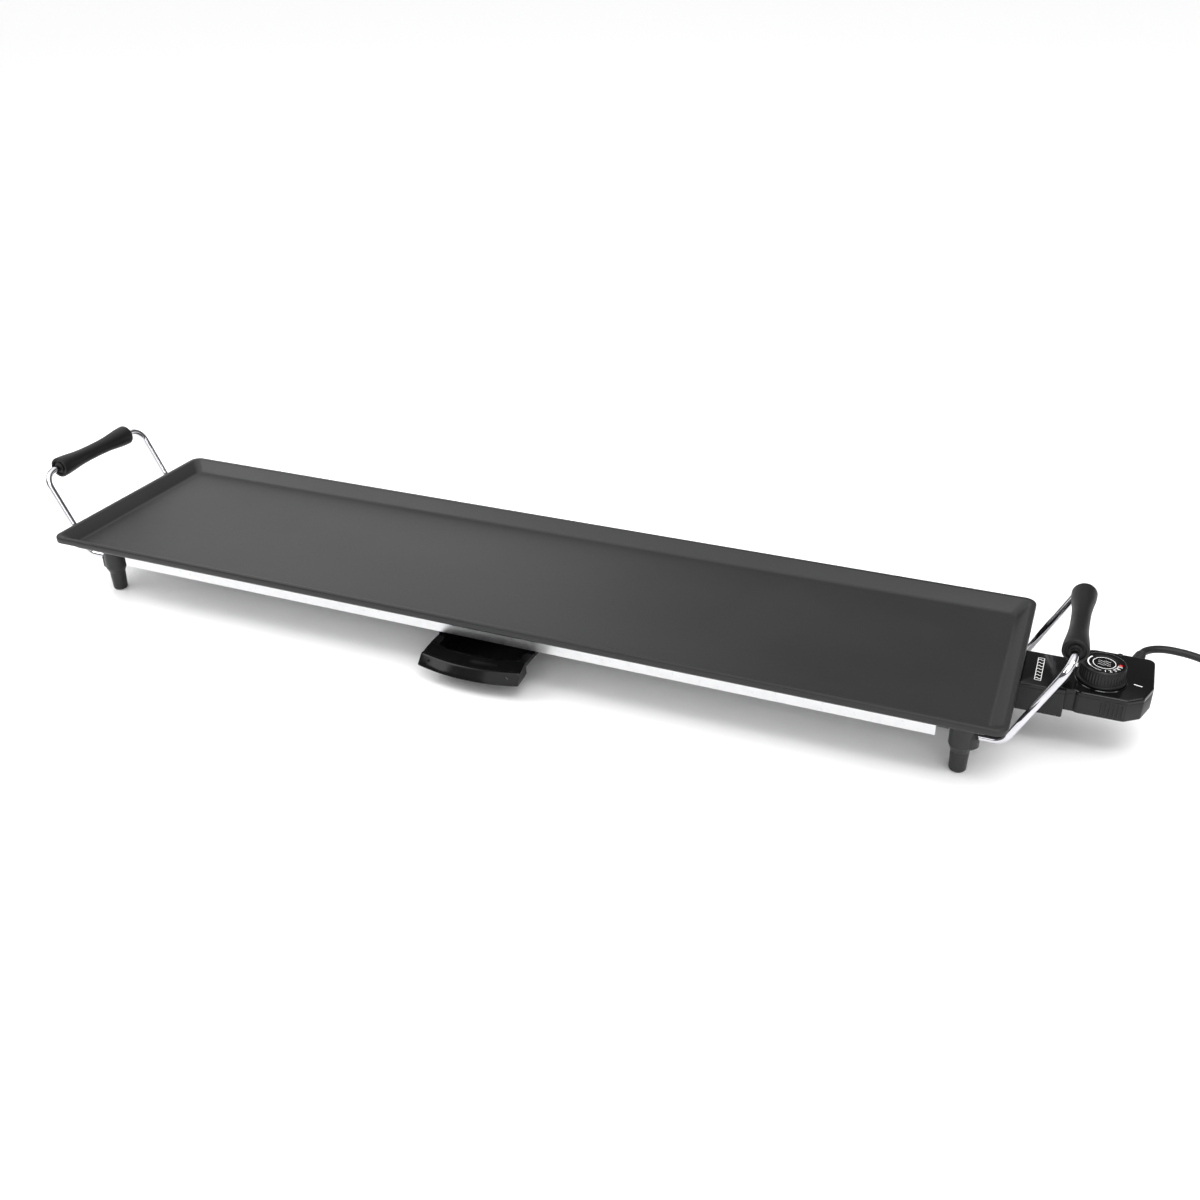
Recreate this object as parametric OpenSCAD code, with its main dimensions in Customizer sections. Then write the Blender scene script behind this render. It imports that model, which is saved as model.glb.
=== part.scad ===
/* [Plate] */
// Length of the plate over its rim
plate_l = 900; // [720:10:1080]
// Width of the plate over its rim
plate_w = 220; // [196:2:264]
// Corner radius of the rim
plate_r = 10; // [6:1:14]
// Depth of the cooking surface below the rim
pan_depth = 11; // [9:0.5:14]
// Thickness of the cast floor
floor_t = 3.5; // [2.5:0.5:5]
// Width of the flat top of the rim
rim_w = 4.5; // [3:0.5:6]
// How far the sloping wall runs in from the rim
wall_run = 10; // [7:0.5:12]
// Height of the lip round the outside of the rim
lip_h = 6; // [5:0.5:7]
// How far the lip stands out past the casting under it
lip_overhang = 4; // [2:0.5:5]
// Length of the fat drain slot
drain_l = 30; // [16:1:40]
// Width of the fat drain slot
drain_w = 4.4; // [3:0.2:5]

/* [Feet] */
// Height from the table to the underside of the plate
foot_h = 54.5; // [52:0.5:66]
// Diameter of a foot where it meets the plate
foot_d = 20; // [18:0.5:24]
// Diameter of the lower leg of a foot
leg_d = 15; // [13:0.5:17]
// Distance of the feet from the ends of the plate
foot_inset_x = 34; // [30:1:44]
// Distance of the feet from the long edges of the plate
foot_inset_y = 40.5; // [36:0.5:46]
// Diameter of the foot screws
foot_screw_d = 4; // [3.5:0.5:5]

/* [Handles] */
// Diameter of the handle wire
wire_d = 6.2; // [5:0.1:7]
// Height of the grip's axis above the table
grip_z = 112; // [100:1:125]
// How far the grip's axis stands out past the plate
grip_out = 35.5; // [28:0.5:45]
// Radius of the two bends beside a grip
grip_bend_r = 14; // [10:0.5:18]
// Radius of the two bends under the rim
low_bend_r = 13; // [10:0.5:16]
// Length of a grip
grip_l = 98; // [80:1:104]
// Largest diameter of a grip, at its ends
grip_d = 20; // [18:0.5:24]
// Diameter of a grip at its waist
grip_waist_d = 14.6; // [12:0.2:17]

/* [Reflector and element] */
// Distance of the reflector's sides from the plate's long edges
reflector_inset = 34; // [32:0.5:40]
// Depth of the reflector pan below the plate
reflector_h = 23; // [20:0.5:26]
// Sheet thickness of the reflector
sheet_t = 1; // [0.6:0.1:1.5]
// Diameter of the tubular heating element
element_d = 8; // [6.5:0.5:9]
// Half the distance between the element's long runs
element_half = 38; // [30:1:46]
// Half the distance between the element's terminal pins
pin_half = 16; // [14:0.5:18]
// Diameter of the terminal pins
pin_d = 4.8; // [4:0.2:5.4]

/* [Drip tray] */
// Inside width of the tray
tray_w = 78; // [60:1:100]
// Distance from the reflector's underside to the tray's top
tray_drop = 2.3; // [2:0.1:4]
// Inside depth of the tray
tray_depth = 12; // [8:0.5:14]
// Wall thickness of the tray
tray_t = 1.8; // [1.2:0.1:2.4]
// Length of the tray from its back to the drain slot
tray_l = 82; // [60:1:110]
// Width of the flange that runs in the rails
tray_flange = 6; // [4:0.5:8]
// Sideways clearance between tray and rails
tray_gap = 0.5; // [0.3:0.1:1]
// Offset of the tray from the middle of the plate
tray_x = 3; // [-20:1:20]

/* [Controller] */
// Offset of the controller from the middle of the plate
con_y = 3; // [-10:1:10]
// Width of the controller's neck
neck_w = 53; // [48:1:60]
// Length of the controller's neck
neck_l = 36.5; // [32:0.5:46]
// Height of the neck
neck_h = 25; // [23:0.5:28]
// Length of the controller's head
head_l = 58; // [54:1:70]
// Height of the head
head_h = 20; // [18:0.5:22]
// How far the head reaches behind the middle of the neck
head_back = 47.5; // [44:0.5:56]
// How far the head reaches in front of the middle of the neck
head_front = 25; // [24:0.5:30]
// Wall thickness of the controller's shells
shell_t = 2; // [1.6:0.1:2.6]
// Thickness of the controller's top cover
cover_t = 3.5; // [3:0.1:4.5]
// Diameter of the thermostat knob
knob_d = 35; // [30:0.5:38]
// Height of the knob above its skirt
knob_h = 11.5; // [9:0.5:14]
// Diameter of the knob's spindle
spindle_d = 6; // [5:0.5:7]
// Diameter of the temperature probe
probe_d = 7; // [5:0.5:8]
// Length of the temperature probe past the neck
probe_l = 70; // [50:1:90]

/* [Cord] */
// Diameter of the mains cord
cord_d = 6.5; // [6:0.1:7]
// Diameter of the plug's body
plug_d = 37; // [35:0.5:38]
// Diameter of the plug's pins
plug_pin_d = 4.8; // [4:0.1:5]
// Length of the plug's pins
plug_pin_l = 19; // [18:0.5:20]
// Distance between the plug's pins
plug_pin_pitch = 19; // [18:0.5:20]

/* [Hidden] */

$fn = 48;
fit = 0.05;          // radial clearance of a running or close fit
hull_fn = 32;        // facets of the circles inside a hull

// Heights above the table
floor_z = foot_h + floor_t;
rim_z = floor_z + pan_depth;
reflector_z = foot_h - 0.2 - reflector_h;
rib_h = 3.5;
element_z = foot_h - rib_h - element_d / 2;
tray_z = reflector_z - tray_drop;

// Places along and across the plate
end_x = plate_l / 2;
edge_y = plate_w / 2;
wall_in = rim_w + wall_run;
foot_x = end_x - foot_inset_x;
foot_y = edge_y - foot_inset_y;
reflector_x = foot_x - foot_d / 2 - 10;
reflector_y = edge_y - reflector_inset;
drain_y = -(edge_y - wall_in - drain_w / 2 - 1.3);

// Feet: the wire enters a lug on the outer side
lug_out = 6.6;
lug_d = 14;
lug_z = foot_h - 32.5;
lug_h = 12;
boss_d = 12;
boss_h = 9.5;
wire_z = lug_z + lug_h;
wire_stop = foot_screw_d / 2 + 2;
foot_round = 2.4;    // rounding of a foot's lower edge
screw_head_d = 1.8 * foot_screw_d;
foot_bore_h = 14;
foot_head_h = 4;

// Handle: the arms rise from under the rim to the grip
arm_x0 = end_x - 3.5;
arm_rise = grip_z - wire_z;
arm_run = end_x + grip_out - arm_x0;
arm_l = sqrt(arm_rise * arm_rise + arm_run * arm_run);
arm_a = atan2(arm_rise, arm_run);
low_trim = low_bend_r * tan(arm_a / 2);
grip_recess = 2;
bend_lap = 0.2;       // how far a straight wire runs into a bend
bend_swell = 0.02;    // a bend is this much thicker than the straight wire
grip_pts = 16;

// Element: the runs close in to the pins through two equal bends
element_x0 = -(end_x - 110);
element_bend_x = end_x - 90;
element_step_r = (element_half - pin_half) / 2;
element_x1 = end_x - 32;
rib_w = 22;
clip_t = 1.5;
clamp_l = 12;
clamp_t = 1.2;
clamp_screw_d = 3.4;
clamp_screw_out = 4;  // from the element's side to a clamp screw
clamp_at = [for (k = [0 : 3]) -0.67 * end_x + k * 0.46 * end_x];

// Drip tray
flange_t = 1.6;
lip_out = 15;
well_bow = 7.5;
rail_t = 1;
rail_l = 66;
rail_gap = 0.5;
rivet_d = 3;
flange_half = tray_w / 2 + tray_t + tray_flange;
tray_front = drain_y + 0.5;
tray_back = tray_front + tray_l;
rail_y0 = -reflector_y + 2;
rivet_x = flange_half + tray_gap + rail_t + 4;
rivet_at = [rail_y0 + 12, rail_y0 + rail_l - 12];

// Controller
neck_x0 = end_x - 1.5;
head_gap = 5.5;
head_x0 = neck_x0 + neck_l + head_gap;
head_x1 = head_x0 + head_l;
neck_top = rim_z - lip_h - 1;
head_top = neck_top + 0.5;
split_z = neck_top - cover_t;
head_bottom = head_top - head_h;
neck_bottom = neck_top - neck_h;
knob_x = head_x0 + 18.5;
skirt_h = 2.5;
skirt_d = knob_d + 2.5;
seat_h = 1;
corner_r = 6;
heel_corner_r = 14;
nose_round = 4;
nose_cut = [[-18.5, 0], [-6.5, 9], [0, 28]];  // corners of the cut nose, from the head's front right corner
knob_z = head_top + seat_h + 0.4;
knob_top = knob_z + skirt_h + knob_h;
nose_l = 20.5;
nose_half = 24;
nose_h = 13.5;
shroud_t = 1.5;
shroud_gap = 0.8;
housing_screw_d = 3;
screw_boss_d = 7.5;
screw_bore_d = 6.4;
housing_screw_at = [
    [neck_x0 + 20, con_y - neck_w / 2 + 7], [neck_x0 + 20, con_y + neck_w / 2 - 7],
    [head_x1 - 20, con_y - head_front + 6.5], [head_x1 - 34, con_y + head_back - 7.5]
];
contact_d = pin_d + 2.4;
switch_x0 = knob_x - 14;
switch_z0 = element_z - 2.5;
switch_h = split_z - switch_z0 - 1.5;
probe_tip_x = neck_x0 - probe_l + 3;
probe_end_x = neck_x0 + neck_l - shell_t - 4;
probe_stem_d = 3;
dial_d = knob_d - 4;
lens_d = 3;
lens_r = dial_d / 2 - 3.6;

// Strain relief: the cord leaves the back of the head, turned a little outwards
relief_at = [head_x1 - 15, con_y + head_back - shell_t, head_top - 7.5];
relief_a = 12;
relief_l = 20;
relief_d = 11.5;
relief_tip_d = cord_d + 1.8;
relief_flange_d = relief_d + 2.5;
relief_tip = relief_at + relief_l * [sin(relief_a), cos(relief_a), 0];

// Cord route, chosen by hand. Each step to the coil: along, across, share of the tip's height
lead_steps = [
    [0, 0, 1], [2, 6, 0.994], [5.5, 11.3, 0.987],
    [10.1, 15.6, 0.979], [15.7, 18.7, 0.971], [21.8, 20.5, 0.962],
    [28.3, 21.4, 0.95], [36.3, 22.1, 0.93], [44.3, 22.7, 0.899], [52.3, 23.1, 0.853], [61.3, 23.4, 0.78],
    [70.3, 23.6, 0.679], [79.3, 23.8, 0.551], [88.3, 23.9, 0.412], [97.3, 24, 0.277], [106.3, 24.1, 0.159],
    [114.3, 24.15, 0.074], [121.3, 24.2, 0.019], [127.3, 24.2, 0]
];
// Each step from the coil to the plug: along, across, height above a straight line between them
tail_steps = [
    [0.05, 0, 0], [0.05, -8, 0.23], [0.05, -16, 0.36],
    [0.25, -24, -0.3], [0.55, -32, -1.66], [0.95, -40, -3.13],
    [1.25, -48, -3.99], [1.65, -56, -3.85], [1.95, -64, -2.42],
    [2.15, -71, -0.78], [2.25, -78, 0.16], [2.25, -84, 0]
];
cord_low = cord_d / 2 + 0.05;
coil_mid_r = 5.5 * cord_d;
coil_rise = cord_d * sqrt(3) / 2;
coil_top = cord_d / 2 + 2 * coil_rise;
lead_pts = [for (p = lead_steps)
    [relief_tip[0] + p[0], relief_tip[1] + p[1], cord_low + p[2] * (relief_tip[2] - cord_low)]];
lead_end = lead_pts[len(lead_pts) - 1];
coil_c = [lead_end[0], lead_end[1] - coil_mid_r - cord_d];
tail_last = len(tail_steps) - 1;
tail_pts = [for (k = [0 : tail_last]) let (p = tail_steps[k])
    [coil_c[0] + coil_mid_r + p[0], coil_c[1] + p[1],
     coil_top + (plug_d / 2 - coil_top) * k / tail_last + p[2]]];
cord_sides = 10;
tie_w = 8;
tie_t = 1.2;
plug_boot_l = 22;
plug_body_l = 34;
plug_at = tail_pts[tail_last];

black = [0.07, 0.07, 0.075];
coating = [0.16, 0.16, 0.165];
chrome = [0.86, 0.86, 0.88];
zinc = [0.8, 0.81, 0.82];
steel = [0.62, 0.63, 0.65];

// ---------- helpers ----------

module round_rect(l, w, r, facets = 48) {
    square([l - 2 * r, w], center = true);
    square([l, w - 2 * r], center = true);
    for (x = [-1, 1], y = [-1, 1])
        translate([x * (l / 2 - r), y * (w / 2 - r)]) circle(r, $fn = facets);
}

module slab(l, w, r, z, h, facets = 48)
    translate([0, 0, z]) linear_extrude(h) round_rect(l, w, r, facets);

// A straight round bar from x0 to x1
module bar_x(x0, x1, y, z, d)
    translate([x0, y, z]) rotate([0, 90, 0]) cylinder(d = d, h = x1 - x0);

// Part of a ring of round section, from angle a0 to a1 about Z
module ring_part(r, d, a0, a1)
    rotate([0, 0, a0]) rotate_extrude(angle = a1 - a0) translate([r, 0]) circle(d = d, $fn = 32);

// A box given by its lowest and highest corners
module span(a, b) translate(a) cube([b[0] - a[0], b[1] - a[1], b[2] - a[2]]);

function unit(v) = v / norm(v);

// A tube through a list of points: one ring at each point, square to the route there
function route_dir(p, i) = unit(p[min(i + 1, len(p) - 1)] - p[max(i - 1, 0)]);
function ring_pts(c, t, r, sides) =
    let (u = unit(cross(t, abs(t[2]) < 0.9 ? [0, 0, 1] : [1, 0, 0])), v = cross(t, u))
    [for (k = [0 : sides - 1]) c + r * (u * cos(360 * k / sides) + v * sin(360 * k / sides))];
module tube_along(p, d, sides) {
    n = len(p);
    pts = [for (i = [0 : n - 1]) each ring_pts(p[i], route_dir(p, i), d / 2, sides)];
    walls = [for (i = [0 : n - 2], k = [0 : sides - 1], h = [0, 1])
        let (a = i * sides + k, b = i * sides + (k + 1) % sides)
        h == 0 ? [a, a + sides, b] : [b, a + sides, b + sides]];
    ends = [[for (k = [0 : sides - 1]) k], [for (k = [sides - 1 : -1 : 0]) (n - 1) * sides + k]];
    polyhedron(points = pts, faces = concat(walls, ends), convexity = 6);
}

// ---------- plate ----------

module slot_cut(l, w, z0, z1) translate([tray_x, drain_y, z0]) {
    for (s = [-1, 1]) translate([s * (l - w) / 2, 0, 0]) cylinder(d = w, h = z1 - z0);
    translate([-(l - w) / 2, -w / 2, 0]) cube([l - w, w, z1 - z0]);
}

module griddle_plate() {
    lip_z = rim_z - lip_h;
    under_l = plate_l - 2 * lip_overhang;
    under_w = plate_w - 2 * lip_overhang;
    base_l = plate_l - 2 * wall_in + 4;
    base_w = plate_w - 2 * wall_in + 4;
    color(coating) difference() {
        union() {
            slab(plate_l, plate_w, plate_r, lip_z, lip_h);
            hull() {
                slab(under_l, under_w, plate_r - 2, lip_z, 0.2, hull_fn);
                slab(base_l, base_w, plate_r - 2, foot_h, 0.2, hull_fn);
            }
            for (s = [-1, 1])
                span([element_x0 - 10, con_y + s * element_half - rib_w / 2, foot_h - rib_h],
                     [element_bend_x, con_y + s * element_half + rib_w / 2, foot_h + 1]);
            for (x = [-1, 1], y = [-1, 1])
                translate([x * foot_x, y * foot_y, foot_h - boss_h]) cylinder(d = boss_d, h = boss_h + 1);
            slot_cut(drain_l + 3, drain_w + 3, foot_h - 3, foot_h + 1);
        }
        hull() {
            slab(plate_l - 2 * rim_w, plate_w - 2 * rim_w, plate_r - 3, rim_z, 1, hull_fn);
            slab(plate_l - 2 * wall_in, plate_w - 2 * wall_in, plate_r - 3, floor_z, 0.1, hull_fn);
        }
        slot_cut(drain_l, drain_w, foot_h - 4, floor_z + 1);
        for (x = [-1, 1], y = [-1, 1])
            translate([x * foot_x, y * foot_y, foot_h - boss_h - 1])
                cylinder(d = foot_screw_d, h = boss_h + 1);
        clamp_holes();
    }
}

// ---------- heating element ----------

// The element's path: two long runs, one bend at the left, a step in to each pin at the right
module element_path(d) translate([0, con_y, element_z]) {
    translate([element_x0, 0, 0]) ring_part(element_half, d, 90, 270);
    for (s = [0, 1]) mirror([0, s, 0]) {
        bar_x(element_x0, element_bend_x, element_half, 0, d);
        translate([element_bend_x, element_half - element_step_r, 0]) ring_part(element_step_r, d, 0, 90);
        translate([element_bend_x + 2 * element_step_r, pin_half + element_step_r, 0])
            ring_part(element_step_r, d, 180, 270);
        bar_x(element_bend_x + 2 * element_step_r, element_x1, pin_half, 0, d);
    }
}

module heating_element() color(steel) element_path(element_d);

module terminal_pins() color(steel)
    for (s = [-1, 1]) bar_x(element_x1, neck_x0 - 6, con_y + s * pin_half, element_z, pin_d);

// The places of the clamp screws, at the underside of the plate's ribs
module at_clamp_screws()
    for (x = clamp_at, s = [-1, 1], e = [-1, 1])
        translate([x, con_y + s * element_half + e * (element_d / 2 + clamp_screw_out), foot_h - rib_h])
            children();

module clamp_holes() at_clamp_screws() translate([0, 0, -clamp_t - 1])
    cylinder(d = clamp_screw_d, h = clamp_t + 5, $fn = 24);

module element_clamps() color(zinc)
    for (x = clamp_at, s = [-1, 1]) difference() {
        translate([x - clamp_l / 2, con_y + s * element_half, element_z]) rotate([90, 0, 90])
            linear_extrude(clamp_l) {
                r = element_d / 2;
                difference() {
                    union() {
                        circle(r + clamp_t);
                        translate([-r - clamp_t, 0]) square([2 * (r + clamp_t), r]);
                    }
                    circle(r);
                    translate([-r, 0]) square([2 * r, r + clamp_t]);
                    translate([-2 * r, r]) square([4 * r, r]);
                }
                for (e = [0, 1]) mirror([e, 0])
                    translate([r + clamp_t / 2, r - clamp_t]) square([7, clamp_t]);
            }
        clamp_holes();
    }

module clamp_screws() color(steel) at_clamp_screws() {
    translate([0, 0, -clamp_t - 1.6]) cylinder(d = 5.6, h = 1.6, $fn = 24);
    translate([0, 0, -clamp_t - 0.2]) cylinder(d = clamp_screw_d, h = clamp_t + 4, $fn = 24);
}

module probe_sleeve() color(zinc) difference() {
    x0 = neck_x0 - probe_l - 2;
    span([x0, con_y - 7, element_z - 6], [element_x1 - 1, con_y + 7, foot_h]);
    bar_x(x0 + 1.5, element_x1, con_y, element_z, probe_d + 2 * fit);
}

// ---------- terminal shroud ----------

module terminal_shroud() {
    half = nose_half + shroud_gap;
    z0 = element_z - nose_h / 2 - shroud_gap;
    color(black) difference() {
        span([element_x1 - 4, con_y - half - shroud_t, z0 - shroud_t],
             [neck_x0 - 1, con_y + half + shroud_t, foot_h]);
        span([element_x1, con_y - half, z0], [neck_x0, con_y + half, foot_h + 1]);
        for (s = [-1, 1]) bar_x(element_x1 - 5, element_x1 + 1, con_y + s * pin_half, element_z, element_d);
        span([element_x1 - 5, con_y - 7.2, element_z - 6.2], [element_x1 + 1, con_y + 7.2, foot_h + 1]);
    }
}

// ---------- reflector ----------

module reflector_pan() {
    top = foot_h - 0.2;
    gate = pin_half + element_d / 2 + 3;
    color(zinc) difference() {
        span([-reflector_x, -reflector_y, reflector_z], [reflector_x, reflector_y, top]);
        span([-reflector_x + sheet_t, -reflector_y + sheet_t, reflector_z + sheet_t],
             [reflector_x - sheet_t, reflector_y - sheet_t, top + 1]);
        span([reflector_x - 2, con_y - gate, element_z - 8], [reflector_x + 1, con_y + gate, top + 1]);
        for (s = [-1, 1], y = rivet_at)
            translate([tray_x + s * rivet_x, y, reflector_z - 1]) cylinder(d = rivet_d, h = 3, $fn = 24);
    }
}

// Four black clips hold the ends of the reflector to the feet
module reflector_brackets() color(black)
    for (x = [0, 1], y = [0, 1]) mirror([x, 0, 0]) mirror([0, y, 0]) {
        x1 = foot_x - foot_d / 2 - 0.5;
        y0 = sheet_t - reflector_y;
        z0 = element_z - 8;
        span([reflector_x, y0, z0], [reflector_x + clip_t, y0 + 12, foot_h - 0.5]);
        span([reflector_x, y0, z0], [x1, y0 + clip_t, foot_h - 0.5]);
        span([reflector_x, y0, z0], [x1, 4 - foot_y, z0 + clip_t]);
    }

// ---------- drip tray and its rails ----------

module rail(s) translate([tray_x, 0, 0]) mirror([s < 0 ? 1 : 0, 0, 0]) color(black) {
    web = flange_half + tray_gap;
    lip_z = tray_z - flange_t - rail_gap - rail_t;
    difference() {
        union() {
            span([web, rail_y0, lip_z], [web + rail_t, rail_y0 + rail_l, reflector_z]);
            span([web - tray_flange + 1, rail_y0, lip_z], [web + rail_t, rail_y0 + rail_l, lip_z + rail_t]);
            span([web, rail_y0, reflector_z - rail_t], [web + 9, rail_y0 + rail_l, reflector_z]);
        }
        for (y = rivet_at)
            translate([rivet_x, y, reflector_z - 2]) cylinder(d = rivet_d, h = 3, $fn = 24);
    }
}

module rail_rivets() color(steel)
    for (s = [-1, 1], y = rivet_at)
        translate([tray_x + s * rivet_x, y, reflector_z]) {
            translate([0, 0, -rail_t - 1.2]) cylinder(d1 = 4, d2 = 6, h = 1.2, $fn = 24);
            translate([0, 0, -rail_t - 0.1]) cylinder(d = rivet_d, h = rail_t + sheet_t + 0.1, $fn = 24);
            translate([0, 0, sheet_t]) cylinder(d = 5.4, h = 1, $fn = 24);
        }

// Outline of the tray's front: a shallow bow of the given half width and height
function bow(half, out, n = 14) =
    [for (k = [0 : n]) let (u = 2 * k / n - 1) [half * u, -out * (1 - u * u)]];

module tray_outline(half, y_front, y_back)
    polygon(concat([for (p = bow(half, well_bow)) [p[0], p[1] + y_front]],
                   [[half, y_back], [-half, y_back]]));

module drip_tray() {
    half = tray_w / 2;
    z0 = tray_z - tray_depth - tray_t;
    lip_half = flange_half + 1.5;
    color(black) translate([tray_x, 0, 0]) difference() {
        union() {
            translate([0, 0, z0]) linear_extrude(tray_depth + tray_t)
                tray_outline(half + tray_t, tray_front - tray_t, tray_back);
            span([-flange_half, tray_front, tray_z - flange_t], [flange_half, tray_back, tray_z]);
            hull() {
                translate([0, 0, tray_z - 2]) linear_extrude(2)
                    tray_outline(lip_half - 2, tray_front - 1, tray_front);
                translate([0, 0, tray_z - 5]) linear_extrude(1.5)
                    tray_outline(lip_half, tray_front - lip_out, tray_front);
                translate([0, 0, z0 + 2]) linear_extrude(1.5)
                    tray_outline(lip_half + 0.5, tray_front - lip_out - 7, tray_front - lip_out - 4);
            }
        }
        translate([0, 0, z0 + tray_t]) linear_extrude(tray_depth + 1)
            tray_outline(half, tray_front, tray_back - tray_t);
        span([-half, tray_front - lip_out - 6, z0 - 1], [half, tray_front - 2 * tray_t - well_bow, z0 + 8]);
    }
}

// ---------- feet ----------

// A foot stands on the table; its lug points outwards and takes the end of the handle wire
module foot(sx, sy) translate([sx * foot_x, sy * foot_y, 0]) mirror([sx < 0 ? 1 : 0, 0, 0])
    color(black) difference() {
        union() {
            rotate_extrude() polygon(concat(
                [[0, 0]],
                [for (a = [0 : 15 : 75])
                    [leg_d / 2 - 0.6 - foot_round * (1 - sin(a)), foot_round * (1 - cos(a))]],
                [[leg_d / 2 - 0.6, foot_round], [leg_d / 2, lug_z - 3], [foot_d / 2, lug_z + 3],
                 [foot_d / 2, foot_h], [0, foot_h]]));
            translate([lug_out, 0, lug_z]) rotate_extrude()
                polygon([[0, 0], [lug_d / 2 - 3, 0], [lug_d / 2, 3], [lug_d / 2, lug_h], [0, lug_h]]);
            translate([lug_out, 0, wire_z]) cylinder(d1 = lug_d, d2 = lug_d - 6, h = wire_d / 2 + 2.5);
        }
        bar_x(wire_stop, foot_d + lug_out, 0, wire_z, wire_d);
        translate([0, 0, -1]) cylinder(d = screw_head_d + 0.4, h = foot_bore_h + 1);
        translate([0, 0, foot_bore_h - 1]) cylinder(d = foot_screw_d + 0.2, h = foot_h);
        translate([0, 0, foot_h - boss_h - 0.3]) cylinder(d = boss_d + 0.4, h = boss_h + 1);
    }

module foot_screws() color(steel)
    for (x = [-1, 1], y = [-1, 1]) translate([x * foot_x, y * foot_y, 0]) {
        difference() {
            translate([0, 0, foot_bore_h - foot_head_h]) cylinder(d = screw_head_d, h = foot_head_h);
            translate([0, 0, foot_bore_h - foot_head_h - 1]) cylinder(d = foot_screw_d - 0.5, h = 3, $fn = 6);
        }
        translate([0, 0, foot_bore_h - 0.2]) cylinder(d = foot_screw_d, h = foot_h - foot_bore_h - 1);
    }

// ---------- handles ----------

// The wire in one plane: up an arm, across through the grip and down the other arm
module handle_bow() {
    bar_half = foot_y - grip_bend_r;
    for (s = [0, 1]) mirror([0, s, 0]) {
        bar_x(low_trim - bend_lap, arm_l - grip_bend_r + bend_lap, foot_y, 0, wire_d);
        translate([arm_l - grip_bend_r, bar_half, 0])
            ring_part(grip_bend_r, wire_d + bend_swell, 0, 90);
    }
    translate([arm_l, bar_half + bend_lap, 0]) rotate([90, 0, 0])
        cylinder(d = wire_d, h = 2 * (bar_half + bend_lap));
}

module handle_wire(sx) mirror([sx < 0 ? 1 : 0, 0, 0]) color(chrome) {
    translate([arm_x0, 0, wire_z]) rotate([0, -arm_a, 0]) handle_bow();
    for (y = [-1, 1]) {
        bar_x(foot_x + wire_stop, arm_x0 - low_trim + bend_lap, y * foot_y, wire_z, wire_d);
        translate([arm_x0 - low_trim, y * foot_y, wire_z + low_bend_r]) rotate([90, 0, 0])
            ring_part(low_bend_r, wire_d + bend_swell, -90, arm_a - 90);
    }
}

// The waist is a smooth hollow between two full ends
function grip_r(u) = grip_waist_d / 2 + (grip_d - grip_waist_d) / 2 * (1 - cos(180 * pow(abs(u), 1.5))) / 2;

module grip(sx) translate([sx * (end_x + grip_out), grip_l / 2, grip_z]) rotate([90, 0, 0])
    color(black) difference() {
        rotate_extrude() polygon(concat(
            [[0, 0], [grip_d / 2 - 1.5, 0], [grip_d / 2 - 0.4, 0.6]],
            [for (k = [0 : grip_pts]) let (u = 2 * k / grip_pts - 1)
                [grip_r(u), 2 + (grip_l - 4) * k / grip_pts]],
            [[grip_d / 2 - 0.4, grip_l - 0.6], [grip_d / 2 - 1.5, grip_l], [0, grip_l]]));
        translate([0, 0, -1]) cylinder(d = wire_d + 2 * fit, h = grip_l + 2);
        for (z = [-1, grip_l - grip_recess]) translate([0, 0, z]) difference() {
            cylinder(d = grip_d - 5, h = grip_recess + 1);
            translate([0, 0, -1]) cylinder(d = wire_d + 4, h = grip_recess + 3);
        }
    }

// ---------- controller ----------

// Plan of the controller: neck towards the plate, head behind and in front of the knob
module plan_neck(inset) translate([neck_x0 + inset, con_y - neck_w / 2 + inset])
    square([neck_l - 2 * inset, neck_w - 2 * inset]);

module plan_waist(inset) translate([neck_x0 + neck_l - 6 + inset, con_y - head_front + 2 + inset])
    square([16 - 2 * inset, head_front + 12 - 2 * inset]);

// Points of an arc about c, from angle a0 to a1
function arc(c, r, a0, a1, n = 10) =
    [for (k = [0 : n]) let (a = a0 + (a1 - a0) * k / n) c + r * [cos(a), sin(a)]];

// A rounded corner at v of a convex outline, between edges that face a0 and a1
function corner(v, r, inset, a0, a1) =
    let (n0 = [cos(a0), sin(a0)], n1 = [cos(a1), sin(a1)])
    arc(v - r * (n0 + n1) / (1 + n0 * n1), r - inset, a0, a1, 8);

// The way an edge from p to q faces
function facing(p, q) = atan2(p[0] - q[0], q[1] - p[1]);

module plan_head(inset) {
    y0 = con_y - head_front;
    y1 = con_y + head_back;
    nose = [for (p = nose_cut) [head_x1 + p[0], y0 + p[1]]];
    a = [-90, facing(nose[0], nose[1]), facing(nose[1], nose[2]), 0];
    polygon(concat(
        corner([head_x0, y0], corner_r, inset, 180, 270),
        [for (k = [0 : 2]) each corner(nose[k], nose_round, inset, a[k], a[k + 1])],
        corner([head_x1, y1], corner_r, inset, 0, 90),
        corner([head_x0, y1], heel_corner_r, inset, 90, 180)));
}

module plan_all(inset) {
    plan_neck(inset);
    plan_waist(inset);
    plan_head(inset);
}

module relief_place() translate(relief_at) rotate([0, 0, -relief_a]) rotate([-90, 0, 0]) children();

module relief_bore() relief_place() translate([0, 0, -4]) cylinder(d = relief_d, h = 10);

module screw_holes(d, z0, h)
    for (p = housing_screw_at) translate([p[0], p[1], z0]) cylinder(d = d, h = h, $fn = 24);

function screw_seat(p) = p[0] < head_x0 ? neck_bottom : head_bottom;

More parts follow.
